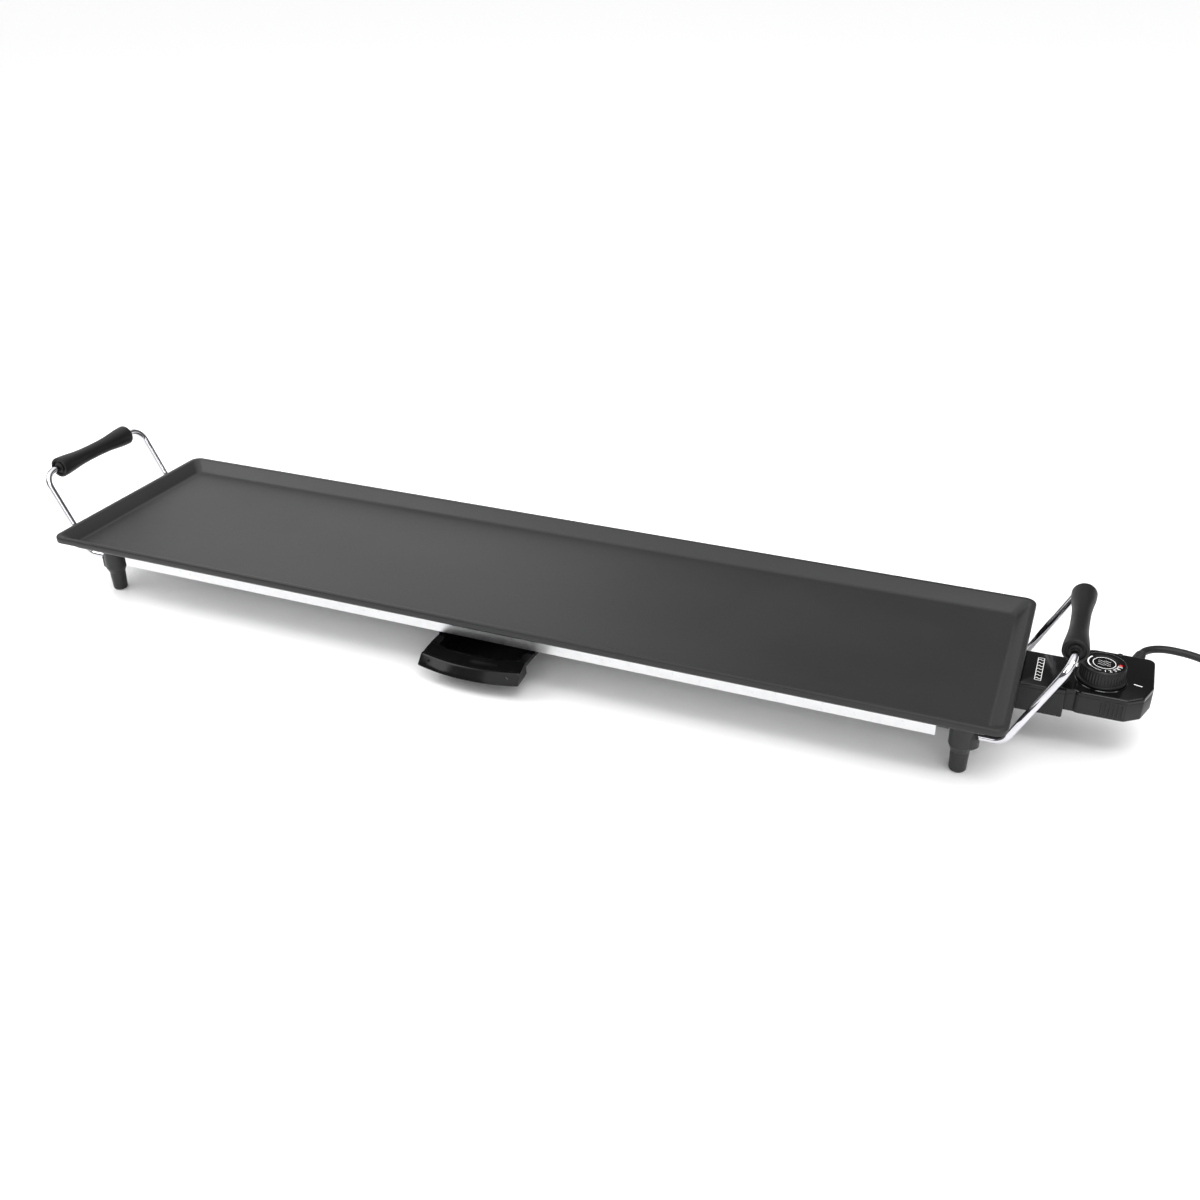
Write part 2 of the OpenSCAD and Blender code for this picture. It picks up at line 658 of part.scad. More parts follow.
module controller_base() color(black) difference() {
    union() {
        difference() {
            union() {
                translate([0, 0, neck_bottom]) linear_extrude(split_z - neck_bottom) plan_neck(0);
                translate([0, 0, head_bottom]) linear_extrude(split_z - head_bottom) plan_all(0);
            }
            translate([0, 0, neck_bottom + shell_t]) linear_extrude(neck_h) plan_neck(shell_t);
            translate([0, 0, head_bottom + shell_t]) linear_extrude(head_h) plan_all(shell_t);
            span([neck_x0 + neck_l - shell_t - 1, con_y - 9, head_bottom + shell_t],
                 [head_x0 + shell_t + 1, con_y + 9, head_top]);
        }
        for (p = housing_screw_at) translate([p[0], p[1], screw_seat(p)])
            cylinder(d = screw_boss_d, h = split_z - screw_seat(p), $fn = 32);
    }
    span([neck_x0 - 1, con_y - nose_half + 1, element_z - nose_h / 2],
         [neck_x0 + shell_t + 1, con_y + nose_half - 1, element_z + nose_h / 2]);
    for (p = housing_screw_at) translate([p[0], p[1], screw_seat(p)]) {
        translate([0, 0, -1]) cylinder(d = housing_screw_d + 0.3, h = neck_h, $fn = 24);
        translate([0, 0, -1]) cylinder(d = screw_bore_d, h = 3.2, $fn = 24);
    }
    relief_bore();
}

module controller_cover() color(black) difference() {
    union() {
        translate([0, 0, split_z]) linear_extrude(neck_top - split_z) plan_neck(0);
        translate([0, 0, split_z]) linear_extrude(head_top - split_z) {
            plan_waist(0);
            plan_head(0);
        }
        translate([knob_x, con_y, head_top - 1]) cylinder(d = knob_d + 5, h = seat_h + 1);
    }
    translate([knob_x, con_y, split_z - 1]) cylinder(d = spindle_d + 1, h = cover_t + 4);
    screw_holes(housing_screw_d, split_z - 1, cover_t);
    relief_bore();
}

module housing_screws() color(steel)
    for (p = housing_screw_at) translate([p[0], p[1], screw_seat(p)]) {
        difference() {
            translate([0, 0, 0.4]) cylinder(d = 6, h = 1.8, $fn = 24);
            translate([-2.2, -0.4, 0]) cube([4.4, 0.8, 1.2]);
            translate([-0.4, -2.2, 0]) cube([0.8, 4.4, 1.2]);
        }
        translate([0, 0, 2])
            cylinder(d = housing_screw_d, h = split_z - screw_seat(p) + cover_t - 3.2, $fn = 24);
    }

// The nose goes into the shroud under the plate and takes the element's pins
module connector_nose() color(black) difference() {
    union() {
        span([neck_x0 - nose_l, con_y - nose_half, element_z - nose_h / 2],
             [neck_x0, con_y + nose_half, element_z + nose_h / 2]);
        span([neck_x0 - 1, con_y - nose_half + 1, element_z - nose_h / 2],
             [neck_x0 + 10, con_y + nose_half - 1, element_z + nose_h / 2]);
    }
    for (s = [-1, 1]) {
        bar_x(neck_x0 - nose_l - 1, neck_x0 - nose_l + 3, con_y + s * pin_half, element_z, pin_d + 1);
        bar_x(neck_x0 - nose_l + 2, neck_x0 + 11, con_y + s * pin_half, element_z, contact_d);
    }
    bar_x(neck_x0 - nose_l - 1, neck_x0 + 11, con_y, element_z, probe_d + 2 * fit);
    span([neck_x0 - nose_l + 4, con_y + nose_half - 0.5, element_z - 3],
         [neck_x0 - nose_l + 16, con_y + nose_half + 1, element_z + 3]);
}

module socket_contacts() color([0.85, 0.7, 0.35])
    for (s = [-1, 1]) difference() {
        bar_x(neck_x0 - nose_l + 3, neck_x0 + 14, con_y + s * pin_half, element_z, contact_d);
        bar_x(neck_x0 - nose_l + 2, neck_x0 + 2, con_y + s * pin_half, element_z, pin_d + 0.6);
    }

module earth_spring() color(steel)
    span([neck_x0 - nose_l + 4, con_y + nose_half - 0.5, element_z - 3],
         [neck_x0 - nose_l + 16, con_y + nose_half + 0.3, element_z + 3]);

// The probe is thick up to the end of the neck; a thin stem goes on to the switch
module probe_rod() color(steel) {
    bar_x(probe_tip_x, probe_end_x, con_y, element_z, probe_d);
    translate([probe_tip_x, con_y, element_z]) sphere(d = probe_d);
    bar_x(probe_end_x - 0.2, switch_x0, con_y, element_z, probe_stem_d);
}

module thermostat_switch() color([0.82, 0.8, 0.76]) difference() {
    span([switch_x0, con_y - 12, switch_z0], [switch_x0 + 28, con_y + 12, switch_z0 + switch_h]);
    translate([knob_x, con_y, switch_z0 + 4]) cylinder(d = spindle_d + 2 * fit, h = switch_h);
}

module terminal_block() color([0.88, 0.87, 0.83]) difference() {
    span([head_x1 - 30, con_y + 22, head_bottom + shell_t], [head_x1 - 8, con_y + 32, split_z - 3]);
    for (x = [head_x1 - 25, head_x1 - 19, head_x1 - 13])
        translate([x, con_y + 27, head_bottom + shell_t + 3]) cylinder(d = 3.2, h = 12, $fn = 24);
}

module knob() color(black) translate([knob_x, con_y, knob_z]) difference() {
    union() {
        cylinder(d = skirt_d, h = skirt_h);
        cylinder(d1 = knob_d, d2 = knob_d - 1.2, h = skirt_h + knob_h);
    }
    translate([0, 0, -1]) difference() {
        cylinder(d = knob_d - 6, h = skirt_h + knob_h - 2);
        translate([0, 0, 0.8]) cylinder(d = spindle_d + 5, h = knob_h + skirt_h);
    }
    translate([0, 0, -1]) cylinder(d = spindle_d, h = skirt_h + knob_h - 2.5);
    translate([0, 0, skirt_h + knob_h - 1]) cylinder(d = knob_d - 4, h = 2);
}

module knob_dial() color([0.1, 0.1, 0.1]) translate([knob_x, con_y, knob_top - 1]) difference() {
    cylinder(d = dial_d, h = 1);
    translate([lens_r, 0, -1]) cylinder(d = lens_d, h = 3, $fn = 24);
}

module pilot_lens() color([0.8, 0.08, 0.08])
    translate([knob_x + lens_r, con_y, knob_top - 1]) cylinder(d = lens_d, h = 1.2, $fn = 24);

module knob_spindle() color(steel) translate([knob_x, con_y, switch_z0 + 4.2])
    cylinder(d = spindle_d, h = knob_top - 4.7 - switch_z0 - 4.2);

// ---------- cord, strain relief and plug ----------

// Inside the wall the relief has a flange, cut off flat under the cover
module strain_relief() color(black) relief_place() {
    translate([0, 0, -4.8]) intersection() {
        cylinder(d = relief_flange_d, h = 2);
        translate([-relief_d, relief_at[2] - split_z + 0.2, -1]) cube([2 * relief_d, 2 * relief_d, 4]);
    }
    translate([0, 0, -3]) cylinder(d = relief_d, h = 6);
    translate([0, 0, 3]) cylinder(d1 = relief_d, d2 = relief_tip_d, h = relief_l - 3);
}

module cord_lead() color(black) tube_along(lead_pts, cord_d, cord_sides);

module cord_tail() color(black) tube_along(tail_pts, cord_d, cord_sides);

// Outline round three turns below, two between and one on top, a gap away from them
function coil_outline(gap) = let (r = cord_d / 2 + gap) concat(
    arc([cord_d, cord_d / 2], r, -90, 30, 4),
    arc([0, cord_d / 2 + 2 * coil_rise], r, 30, 150, 4),
    arc([-cord_d, cord_d / 2], r, 150, 270, 4));

module cord_coil() color(black) translate([coil_c[0], coil_c[1], 0]) rotate_extrude()
    translate([coil_mid_r, 0]) polygon(coil_outline(0));

// A strap round the turns, on the side away from the plug
module cord_tie() color([0.2, 0.2, 0.2]) translate([coil_c[0], coil_c[1], 0]) rotate([0, 0, 200])
    translate([coil_mid_r, tie_w / 2, 0]) rotate([90, 0, 0]) linear_extrude(tie_w) difference() {
        polygon(coil_outline(tie_t));
        polygon(coil_outline(0));
        translate([-2 * coil_mid_r, -coil_mid_r]) square([4 * coil_mid_r, coil_mid_r]);
    }

module plug_place() translate(plug_at) rotate([90, 0, 0]) children();

module plug_body() color(black) plug_place() difference() {
    union() {
        cylinder(d1 = cord_d + 4, d2 = 15, h = plug_boot_l);
        translate([0, 0, plug_boot_l]) cylinder(d1 = 20, d2 = plug_d - 1, h = 10);
        translate([0, 0, plug_boot_l + 10]) cylinder(d = plug_d, h = plug_body_l - 10);
    }
    for (s = [-1, 1]) translate([0, s * plug_d / 2, plug_boot_l + plug_body_l - 15])
        translate([-4.5, -2.2, 0]) cube([9, 4.4, 16]);
}

module plug_pins() color(chrome) plug_place() for (s = [-1, 1])
    translate([s * plug_pin_pitch / 2, 0, plug_boot_l + plug_body_l]) {
        cylinder(d = plug_pin_d, h = plug_pin_l - plug_pin_d / 2);
        translate([0, 0, plug_pin_l - plug_pin_d / 2]) sphere(d = plug_pin_d);
    }

module plug_earth_strips() color(chrome) plug_place() for (s = [-1, 1])
    translate([-3, s * (plug_d / 2 - 1.7) - 0.5, plug_boot_l + plug_body_l - 14.5]) cube([6, 1, 14]);

griddle_plate();
heating_element();
terminal_pins();
element_clamps();
clamp_screws();
probe_sleeve();
terminal_shroud();
reflector_pan();
reflector_brackets();
rail(-1);  // left_rail
rail(1);  // right_rail
rail_rivets();
drip_tray();
foot(-1, -1);  // front_left_foot
foot(1, -1);  // front_right_foot
foot(-1, 1);  // back_left_foot
foot(1, 1);  // back_right_foot
foot_screws();
handle_wire(-1);  // left_handle_wire
handle_wire(1);  // right_handle_wire
grip(-1);  // left_grip
grip(1);  // right_grip
controller_base();
controller_cover();
housing_screws();
connector_nose();
socket_contacts();
earth_spring();
probe_rod();
thermostat_switch();
terminal_block();
knob();
knob_dial();
pilot_lens();
knob_spindle();
strain_relief();
cord_lead();
cord_coil();
cord_tail();
cord_tie();
plug_body();
plug_pins();
plug_earth_strips();
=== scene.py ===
import math
import random

import bmesh
import bpy
from mathutils import Matrix, Vector


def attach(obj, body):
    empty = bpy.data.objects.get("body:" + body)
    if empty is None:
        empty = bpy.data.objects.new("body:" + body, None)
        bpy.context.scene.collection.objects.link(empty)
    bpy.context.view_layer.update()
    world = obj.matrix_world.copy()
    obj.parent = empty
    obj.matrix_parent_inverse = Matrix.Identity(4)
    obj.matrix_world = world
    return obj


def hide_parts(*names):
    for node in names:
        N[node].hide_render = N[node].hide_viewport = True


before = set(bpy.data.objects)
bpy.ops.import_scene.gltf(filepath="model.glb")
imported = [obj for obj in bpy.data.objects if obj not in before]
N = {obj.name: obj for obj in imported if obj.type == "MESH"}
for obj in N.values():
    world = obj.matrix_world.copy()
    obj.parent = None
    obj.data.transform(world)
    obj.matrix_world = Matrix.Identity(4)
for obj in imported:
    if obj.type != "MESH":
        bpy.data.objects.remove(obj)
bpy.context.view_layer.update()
MM = 0.001

# ---------------------------------------------------------------- camera

CAM_AT = (0.4684, -0.9271, 0.6)
cam_data = bpy.data.cameras.new("camera")
cam = bpy.data.objects.new("camera", cam_data)
bpy.context.scene.collection.objects.link(cam)
cam_data.sensor_width = 36.0
cam_data.lens = 37.84
cam_data.clip_start = 0.02
cam_data.clip_end = 60.0
look = Vector((-0.337622, 0.809478, -0.480371)).normalized()
side = Vector((0.924592, 0.380874, -0.008021)).normalized()
side = (side - look * side.dot(look)).normalized()
up = side.cross(look)
cam.matrix_world = Matrix(
    (
        (side.x, up.x, -look.x, CAM_AT[0]),
        (side.y, up.y, -look.y, CAM_AT[1]),
        (side.z, up.z, -look.z, CAM_AT[2]),
        (0, 0, 0, 1),
    )
)
bpy.context.scene.camera = cam


# ---------------------------------------------------------------- helpers


def place(name, data):
    """An object in the scene that shows the given data."""
    obj = bpy.data.objects.new(name, data)
    bpy.context.scene.collection.objects.link(obj)
    return obj


def shade(mesh, angle):
    """Smooth shading, sharp where faces meet at more than the angle."""
    mesh.polygons.foreach_set("use_smooth", [True] * len(mesh.polygons))
    mesh.set_sharp_from_angle(angle=math.radians(angle))


def piece(name, part, material, body, slot, replaces=(), smooth=32):
    """Puts a (verts, faces) part in the scene as a piece that rides a body."""
    mesh = to_mesh(name, *part)
    obj = place(name, mesh)
    mesh.materials.append(material)
    shade(mesh, smooth)
    mesh.update()
    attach(obj, body)
    if replaces:
        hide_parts(*replaces)
    return obj


def to_mesh(name, verts, faces):
    """A mesh from points in millimetres, with its faces turned outwards."""
    mesh = bpy.data.meshes.new(name)
    mesh.from_pydata([(x * MM, y * MM, z * MM) for x, y, z in verts], [], faces)
    bm = bmesh.new()
    bm.from_mesh(mesh)
    bmesh.ops.remove_doubles(bm, verts=bm.verts, dist=1e-7)
    bmesh.ops.recalc_face_normals(bm, faces=bm.faces)
    bm.to_mesh(mesh)
    bm.free()
    return mesh


def loft(rings):
    """A solid of quads between rings that have the same number of points, capped at both ends."""
    n = len(rings[0])
    verts = [p for ring in rings for p in ring]
    faces = []
    for i in range(len(rings) - 1):
        for k in range(n):
            a, b = i * n + k, i * n + (k + 1) % n
            faces.append((a, b, b + n, a + n))
    faces.append(tuple(reversed(range(n))))
    faces.append(tuple(range((len(rings) - 1) * n, len(rings) * n)))
    return verts, faces


def joined(*parts):
    """Several (verts, faces) as one."""
    verts, faces = [], []
    for v, f in parts:
        base = len(verts)
        verts += list(v)
        faces += [tuple(i + base for i in face) for face in f]
    return verts, faces


def moved(part, matrix):
    """A part put through a matrix."""
    return [tuple(matrix @ Vector(p)) for p in part[0]], part[1]


def arc(cx, cy, r, a0, a1, n):
    """Points on an arc from a0 to a1, in degrees."""
    return [
        (
            cx + r * math.cos(math.radians(a0 + (a1 - a0) * k / n)),
            cy + r * math.sin(math.radians(a0 + (a1 - a0) * k / n)),
        )
        for k in range(n + 1)
    ]


def rounded(x0, x1, y0, y1, r, n=8):
    """Outline of a rounded rectangle."""
    r = max(r, 0.05)
    return (
        arc(x1 - r, y0 + r, r, -90, 0, n)
        + arc(x1 - r, y1 - r, r, 0, 90, n)
        + arc(x0 + r, y1 - r, r, 90, 180, n)
        + arc(x0 + r, y0 + r, r, 180, 270, n)
    )


def inset_outline(pts, d):
    """A closed outline moved inwards by d, point for point."""
    n = len(pts)
    out = []
    for i in range(n):
        p, q, r = Vector(pts[i - 1]), Vector(pts[i]), Vector(pts[(i + 1) % n])
        a, b = (q - p), (r - q)
        a = a.normalized() if a.length > 1e-9 else b.normalized()
        b = b.normalized() if b.length > 1e-9 else a
        na, nb = Vector((-a.y, a.x)), Vector((-b.y, b.x))
        m = (na + nb).normalized()
        k = max(0.35, m.dot(na))
        out.append(tuple(q + m * (d / k)))
    return out


def pillow(outline, z0, z1, r0=0.5, r1=0.5, steps=4):
    """An upright solid over an outline, with rounded lower and upper edges."""
    rings = []
    for k in range(steps + 1):
        a = math.pi / 2 * k / steps
        d = r0 * (1 - math.sin(a))
        z = z0 + r0 * (1 - math.cos(a))
        rings.append([(x, y, z) for x, y in inset_outline(outline, d)])
    for k in range(steps + 1):
        a = math.pi / 2 * k / steps
        d = r1 * (1 - math.cos(a))
        z = z1 - r1 * (1 - math.sin(a))
        rings.append([(x, y, z) for x, y in inset_outline(outline, d)])
    return loft(rings)


def box_part(a, b, r):
    """A box from corner a to corner b with edges rounded by r."""
    r = min(r, (b[0] - a[0]) * 0.45, (b[1] - a[1]) * 0.45, (b[2] - a[2]) * 0.45)
    return pillow(rounded(a[0], b[0], a[1], b[1], r * 1.2, 3), a[2], b[2], r, r, 3)


def circle(segments):
    """(cos, sin) of equal steps round a turn."""
    steps = [2 * math.pi * k / segments for k in range(segments)]
    return [(math.cos(a), math.sin(a)) for a in steps]


def turned(profile, segments):
    """A solid of revolution about Z from (radius, height) points."""
    return loft([[(r * c, r * s, z) for c, s in circle(segments)] for r, z in profile])


def turned_ring(profile, segments):
    """A ring from a closed (radius, height) outline."""
    verts = [(r * c, r * s, z) for c, s in circle(segments) for r, z in profile]
    n, faces = len(profile), []
    for i in range(segments):
        for k in range(n):
            a, b = i * n + k, i * n + (k + 1) % n
            c, d = ((i + 1) % segments) * n + (k + 1) % n, ((i + 1) % segments) * n + k
            faces.append((a, b, c, d))
    return verts, faces


def swept(path, radius, sides):
    """A round tube along points, without twist."""
    pts = [Vector(p) for p in path]
    n = len(pts)
    dirs = []
    for i in range(n):
        d = pts[min(i + 1, n - 1)] - pts[max(i - 1, 0)]
        dirs.append(d.normalized())
    ref = Vector((0, 0, 1)) if abs(dirs[0].z) < 0.9 else Vector((1, 0, 0))
    u = (ref - dirs[0] * ref.dot(dirs[0])).normalized()
    rings = []
    for i in range(n):
        u = (u - dirs[i] * u.dot(dirs[i])).normalized()
        v = dirs[i].cross(u)
        rings.append([tuple(pts[i] + radius * (u * c + v * s)) for c, s in circle(sides)])
    return loft(rings)


def at(part, x, y, z):
    """A part moved to a place."""
    return moved(part, Matrix.Translation((x, y, z)))


def spline(points, step):
    """A smooth curve through points, at about the given spacing."""
    p = [Vector(q) for q in points]
    p = [p[0] * 2 - p[1]] + p + [p[-1] * 2 - p[-2]]
    out = []
    for i in range(1, len(p) - 2):
        a, b, c, d = p[i - 1], p[i], p[i + 1], p[i + 2]
        n = max(1, round((c - b).length / step))
        for k in range(n):
            t = k / n
            out.append(
                0.5
                * (
                    2 * b
                    + (c - a) * t
                    + (2 * a - 5 * b + 4 * c - d) * t * t
                    + (3 * b - a - 3 * c + d) * t**3
                )
            )
    out.append(p[-2])
    return [tuple(q) for q in out]


def cut(obj, part):
    """Cuts a shape out of a piece, for good."""
    mesh = to_mesh(obj.name + "_tool", *part)
    tool = place(obj.name + "_tool", mesh)
    mod = obj.modifiers.new("cut", "BOOLEAN")
    mod.operation = "DIFFERENCE"
    mod.object = tool
    mod.solver = "EXACT"
    bpy.context.view_layer.update()
    deps = bpy.context.evaluated_depsgraph_get()
    fresh = bpy.data.meshes.new_from_object(obj.evaluated_get(deps))
    old = obj.data
    obj.modifiers.clear()
    obj.data = fresh
    bpy.data.meshes.remove(old)
    shade(fresh, 32)
    bpy.data.objects.remove(tool, do_unlink=True)
    bpy.data.meshes.remove(mesh)


# ---------------------------------------------------------------- materials


class Nodes:
    """A short way to write a node material."""

    def __init__(self, name):
        self.mat = bpy.data.materials.new(name)
        self.mat.use_nodes = True
        self.t = self.mat.node_tree
        self.bsdf = self.t.nodes["Principled BSDF"]
        self.coord = self.t.nodes.new("ShaderNodeTexCoord").outputs["Object"]

    def link(self, a, b):
        self.t.links.new(a, b)

    def set(self, target, value):
        """Links a socket to another's output, or sets its number or colour."""
        if hasattr(value, "links"):
            self.link(value, target)
        elif isinstance(value, tuple):
            target.default_value = (*value, 1.0)
        else:
            target.default_value = value

    def node(self, kind, **inputs):
        n = self.t.nodes.new(kind)
        for key, value in inputs.items():
            n.inputs[key].default_value = value
        return n

    def stretch(self, sx, sy, sz):
        n = self.t.nodes.new("ShaderNodeMapping")
        n.inputs["Scale"].default_value = (sx, sy, sz)
        self.link(self.coord, n.inputs["Vector"])
        return n.outputs["Vector"]

    def noise(self, scale, detail=3.0, rough=0.5, vector=None):
        n = self.node("ShaderNodeTexNoise", Scale=scale, Detail=detail, Roughness=rough)
        self.link(vector or self.coord, n.inputs["Vector"])
        return n.outputs["Fac"]

    def cells(self, scale):
        n = self.node("ShaderNodeTexVoronoi", Scale=scale)
        self.link(self.coord, n.inputs["Vector"])
        return n.outputs["Distance"]

    def ramp(self, fac, lo, hi, a, b):
        """fac between lo and hi becomes a to b."""
        n = self.t.nodes.new("ShaderNodeMapRange")
        for key, value in (("From Min", lo), ("From Max", hi), ("To Min", a), ("To Max", b)):
            n.inputs[key].default_value = value
        self.link(fac, n.inputs["Value"])
        return n.outputs["Result"]

    def math(self, op, a, b):
        n = self.t.nodes.new("ShaderNodeMath")
        n.operation = op
        self.set(n.inputs[0], a)
        self.set(n.inputs[1], b)
        return n.outputs[0]

    def mix(self, fac, a, b):
        n = self.t.nodes.new("ShaderNodeMix")
        n.data_type = "RGBA"
        factor, color_a, color_b, result = 0, 6, 7, 2
        self.link(fac, n.inputs[factor])
        self.set(n.inputs[color_a], a)
        self.set(n.inputs[color_b], b)
        return n.outputs[result]

    def bump(self, height, strength, distance, normal=None):
        n = self.t.nodes.new("ShaderNodeBump")
        n.inputs["Strength"].default_value = strength
        n.inputs["Distance"].default_value = distance
        self.link(height, n.inputs["Height"])
        if normal is not None:
            self.link(normal, n.inputs["Normal"])
        return n.outputs["Normal"]

    def edges(self):
        """Near 1 on outer edges."""
        g = self.t.nodes.new("ShaderNodeNewGeometry")
        return self.ramp(g.outputs["Pointiness"], 0.51, 0.6, 0.0, 1.0)

    def out(self, color, rough, normal=None, **fixed):
        """Finishes the material. The fixed values go on the shader's own sockets."""
        b = self.bsdf.inputs
        for key, value in fixed.items():
            b[key.replace("_", " ")].default_value = value
        self.set(b["Base Color"], color)
        self.set(b["Roughness"], rough)
        if normal is not None:
            self.link(normal, b["Normal"])
        return self.mat


def coated():
    """Non-stick coating: dark grey satin with a very fine sparkle and faint clouds."""
    m = Nodes("m_coating")
    grain = m.noise(2600, 2.0, 0.6)
    cloud = m.noise(7, 3.0, 0.5)
    fine = m.noise(900, 2.0, 0.5)
    dark, light = (0.0105, 0.0105, 0.0108), (0.0145, 0.0145, 0.0149)
    base = m.mix(m.ramp(cloud, 0.35, 0.65, 0, 1), dark, light)
    base = m.mix(m.ramp(grain, 0.6, 0.78, 0, 0.45), base, (0.06, 0.06, 0.061))
    wide, small = m.ramp(cloud, 0.3, 0.7, 0.40, 0.47), m.ramp(fine, 0.3, 0.7, -0.03, 0.03)
    rough = m.math("ADD", wide, small)
    n = m.bump(grain, 0.35, 0.00008)
    n = m.bump(m.noise(60, 2.0, 0.5), 0.12, 0.0005, n)
    return m.out(base, rough, n, Specular_IOR_Level=0.32)


def bright_sheet():
    """Galvanised sheet, rolled along X, with a faint spangle."""
    m = Nodes("m_galvanised")
    roll = m.noise(60, 3.0, 0.5, m.stretch(0.04, 3, 3))
    spangle = m.cells(110)
    spot = m.ramp(m.noise(260, 1.0, 0.5), 0.66, 0.74, 0, 1)
    base = m.mix(m.ramp(spangle, 0.1, 0.7, 0, 1), (0.66, 0.663, 0.67), (0.7, 0.703, 0.71))
    base = m.mix(m.math("MULTIPLY", spot, 0.35), base, (0.5, 0.51, 0.54))
    rough = m.math("ADD", m.ramp(roll, 0.3, 0.7, 0.3, 0.38), m.ramp(spangle, 0.1, 0.7, -0.02, 0.02))
    return m.out(base, rough, m.bump(roll, 0.05, 0.0001), Metallic=1.0)


def metal(name, color, lo, hi, scale=120):
    """Bare metal with a slightly uneven tone and gloss."""
    m = Nodes(name)
    n1 = m.noise(scale, 3.0, 0.5)
    rough = m.ramp(n1, 0.3, 0.7, lo, hi)
    dull = tuple(c * 0.82 for c in color)
    base = m.mix(m.ramp(m.noise(scale * 0.15, 2.0), 0.35, 0.65, 0, 1), color, dull)
    return m.out(base, rough, m.bump(n1, 0.08, 0.0001), Metallic=1.0)


def chrome():
    """Chromed wire, faintly smeared and scuffed."""
    m = Nodes("m_chrome")
    smear = m.noise(35, 3.0, 0.6)
    scuff = m.noise(700, 2.0, 0.5, m.stretch(0.2, 1, 1))
    rough = m.math("ADD", m.ramp(smear, 0.35, 0.7, 0.035, 0.085), m.ramp(scuff, 0.6, 0.8, 0, 0.04))
    base = m.mix(m.ramp(smear, 0.3, 0.7, 0, 1), (0.62, 0.61, 0.64), (0.54, 0.54, 0.57))
    return m.out(base, rough, m.bump(smear, 0.02, 0.0002), Metallic=1.0)


def plastic(name, color, lo, hi, grain, strength, depth, wear=0.25, coat=0.0, shine=0.3):
    """Moulded plastic of roughness lo to hi: fine grain, uneven gloss and slightly rubbed edges."""
    m = Nodes(name)
    fine = m.noise(grain, 2.0, 0.5)
    wide = m.noise(40, 3.0, 0.5)
    rough = m.math("ADD", m.ramp(wide, 0.3, 0.7, lo, hi), m.ramp(fine, 0.3, 0.7, -0.02, 0.02))
    light = tuple(min(1.0, c * 1.8 + 0.006) for c in color)
    base = m.mix(m.ramp(wide, 0.35, 0.7, 0, 0.5), color, tuple(c * 1.25 for c in color))
    base = m.mix(m.math("MULTIPLY", m.edges(), wear), base, light)
    n = m.bump(fine, strength, depth)
    return m.out(base, rough, n, Coat_Weight=coat, Coat_Roughness=0.05, Specular_IOR_Level=shine)


M_COAT = coated()
M_SHEET = bright_sheet()
M_CHROME = chrome()
M_SCREW = metal("m_screw_steel", (0.62, 0.63, 0.65), 0.25, 0.4)
M_ELEMENT = metal("m_element", (0.33, 0.31, 0.3), 0.38, 0.55, 60)
M_BRASS = metal("m_brass", (0.78, 0.6, 0.3), 0.2, 0.35)
M_BAKELITE = plastic("m_bakelite", (0.02, 0.02, 0.021), 0.34, 0.44, 900, 0.25, 0.00006)
M_BLACKSTEEL = plastic("m_black_steel", (0.02, 0.02, 0.02), 0.3, 0.42, 500, 0.2, 0.00008)
M_ENAMEL = plastic(
    "m_enamel", (0.004, 0.004, 0.0042), 0.1, 0.16, 160, 0.08, 0.00015, wear=0.1, shine=0.14
)
M_GRIP = plastic(
    "m_grip", (0.0065, 0.0065, 0.0068), 0.44, 0.54, 1300, 0.5, 0.0001, wear=0.2, shine=0.22
)
M_SATIN = plastic(
    "m_satin_plastic", (0.01, 0.01, 0.0104), 0.4, 0.5, 1600, 0.35, 0.00006, shine=0.26
)
M_GLOSS = plastic(
    "m_gloss_plastic", (0.0022, 0.0022, 0.0023), 0.12, 0.18, 300, 0.05, 0.0001, wear=0.1
)
M_KNOB = plastic(
    "m_knob", (0.006, 0.006, 0.0063), 0.3, 0.4, 1400, 0.25, 0.00005, wear=0.2, shine=0.28
)
M_CERAMIC = plastic("m_ceramic", (0.78, 0.75, 0.68), 0.55, 0.7, 400, 0.4, 0.0001)
M_CORD = plastic(
    "m_cord", (0.0085, 0.0085, 0.0088), 0.36, 0.46, 700, 0.2, 0.00006, wear=0.2, shine=0.26
)
M_TIE = plastic("m_tie", (0.05, 0.05, 0.052), 0.5, 0.65, 500, 0.5, 0.0001)
M_PRINT = plastic("m_print", (0.78, 0.78, 0.77), 0.45, 0.55, 900, 0.2, 0.00003)
M_RED = plastic("m_red", (0.62, 0.02, 0.02), 0.12, 0.2, 500, 0.1, 0.00005, wear=0.1, coat=0.5)

# ---------------------------------------------------------------- cord

CORD_D = 6.5
PLUG_R = 18.5
GROOVE = 0.75
RELIEF_A = math.radians(12)
RELIEF = Vector((533.5, 48.5, 55.0))
TIP = RELIEF + 20 * Vector((math.sin(RELIEF_A), math.cos(RELIEF_A), 0))
LOW = CORD_D / 2 + 0.05
COIL_R = 5.5 * CORD_D
COIL_TOP = CORD_D / 2 + CORD_D * math.sqrt(3)
COIL_TURNS, COIL_POINTS = 5.25, 252
CROSSING_LIFT = 0.87
# The lead's points from the sleeve's tip: x, y and the share of the height that is left
LEAD_STEPS = [
    (0, 0, 1), (2, 6, 0.994), (5.5, 11.3, 0.987), (10.1, 15.6, 0.979), (15.7, 18.7, 0.971),
    (21.8, 20.5, 0.962), (28.3, 21.4, 0.95), (36.3, 22.1, 0.93), (44.3, 22.7, 0.899),
    (52.3, 23.1, 0.853), (61.3, 23.4, 0.78), (70.3, 23.6, 0.679), (79.3, 23.8, 0.551),
    (88.3, 23.9, 0.412), (97.3, 24, 0.277), (106.3, 24.1, 0.159), (114.3, 24.15, 0.074),
    (121.3, 24.2, 0.019), (127.3, 24.2, 0),
]
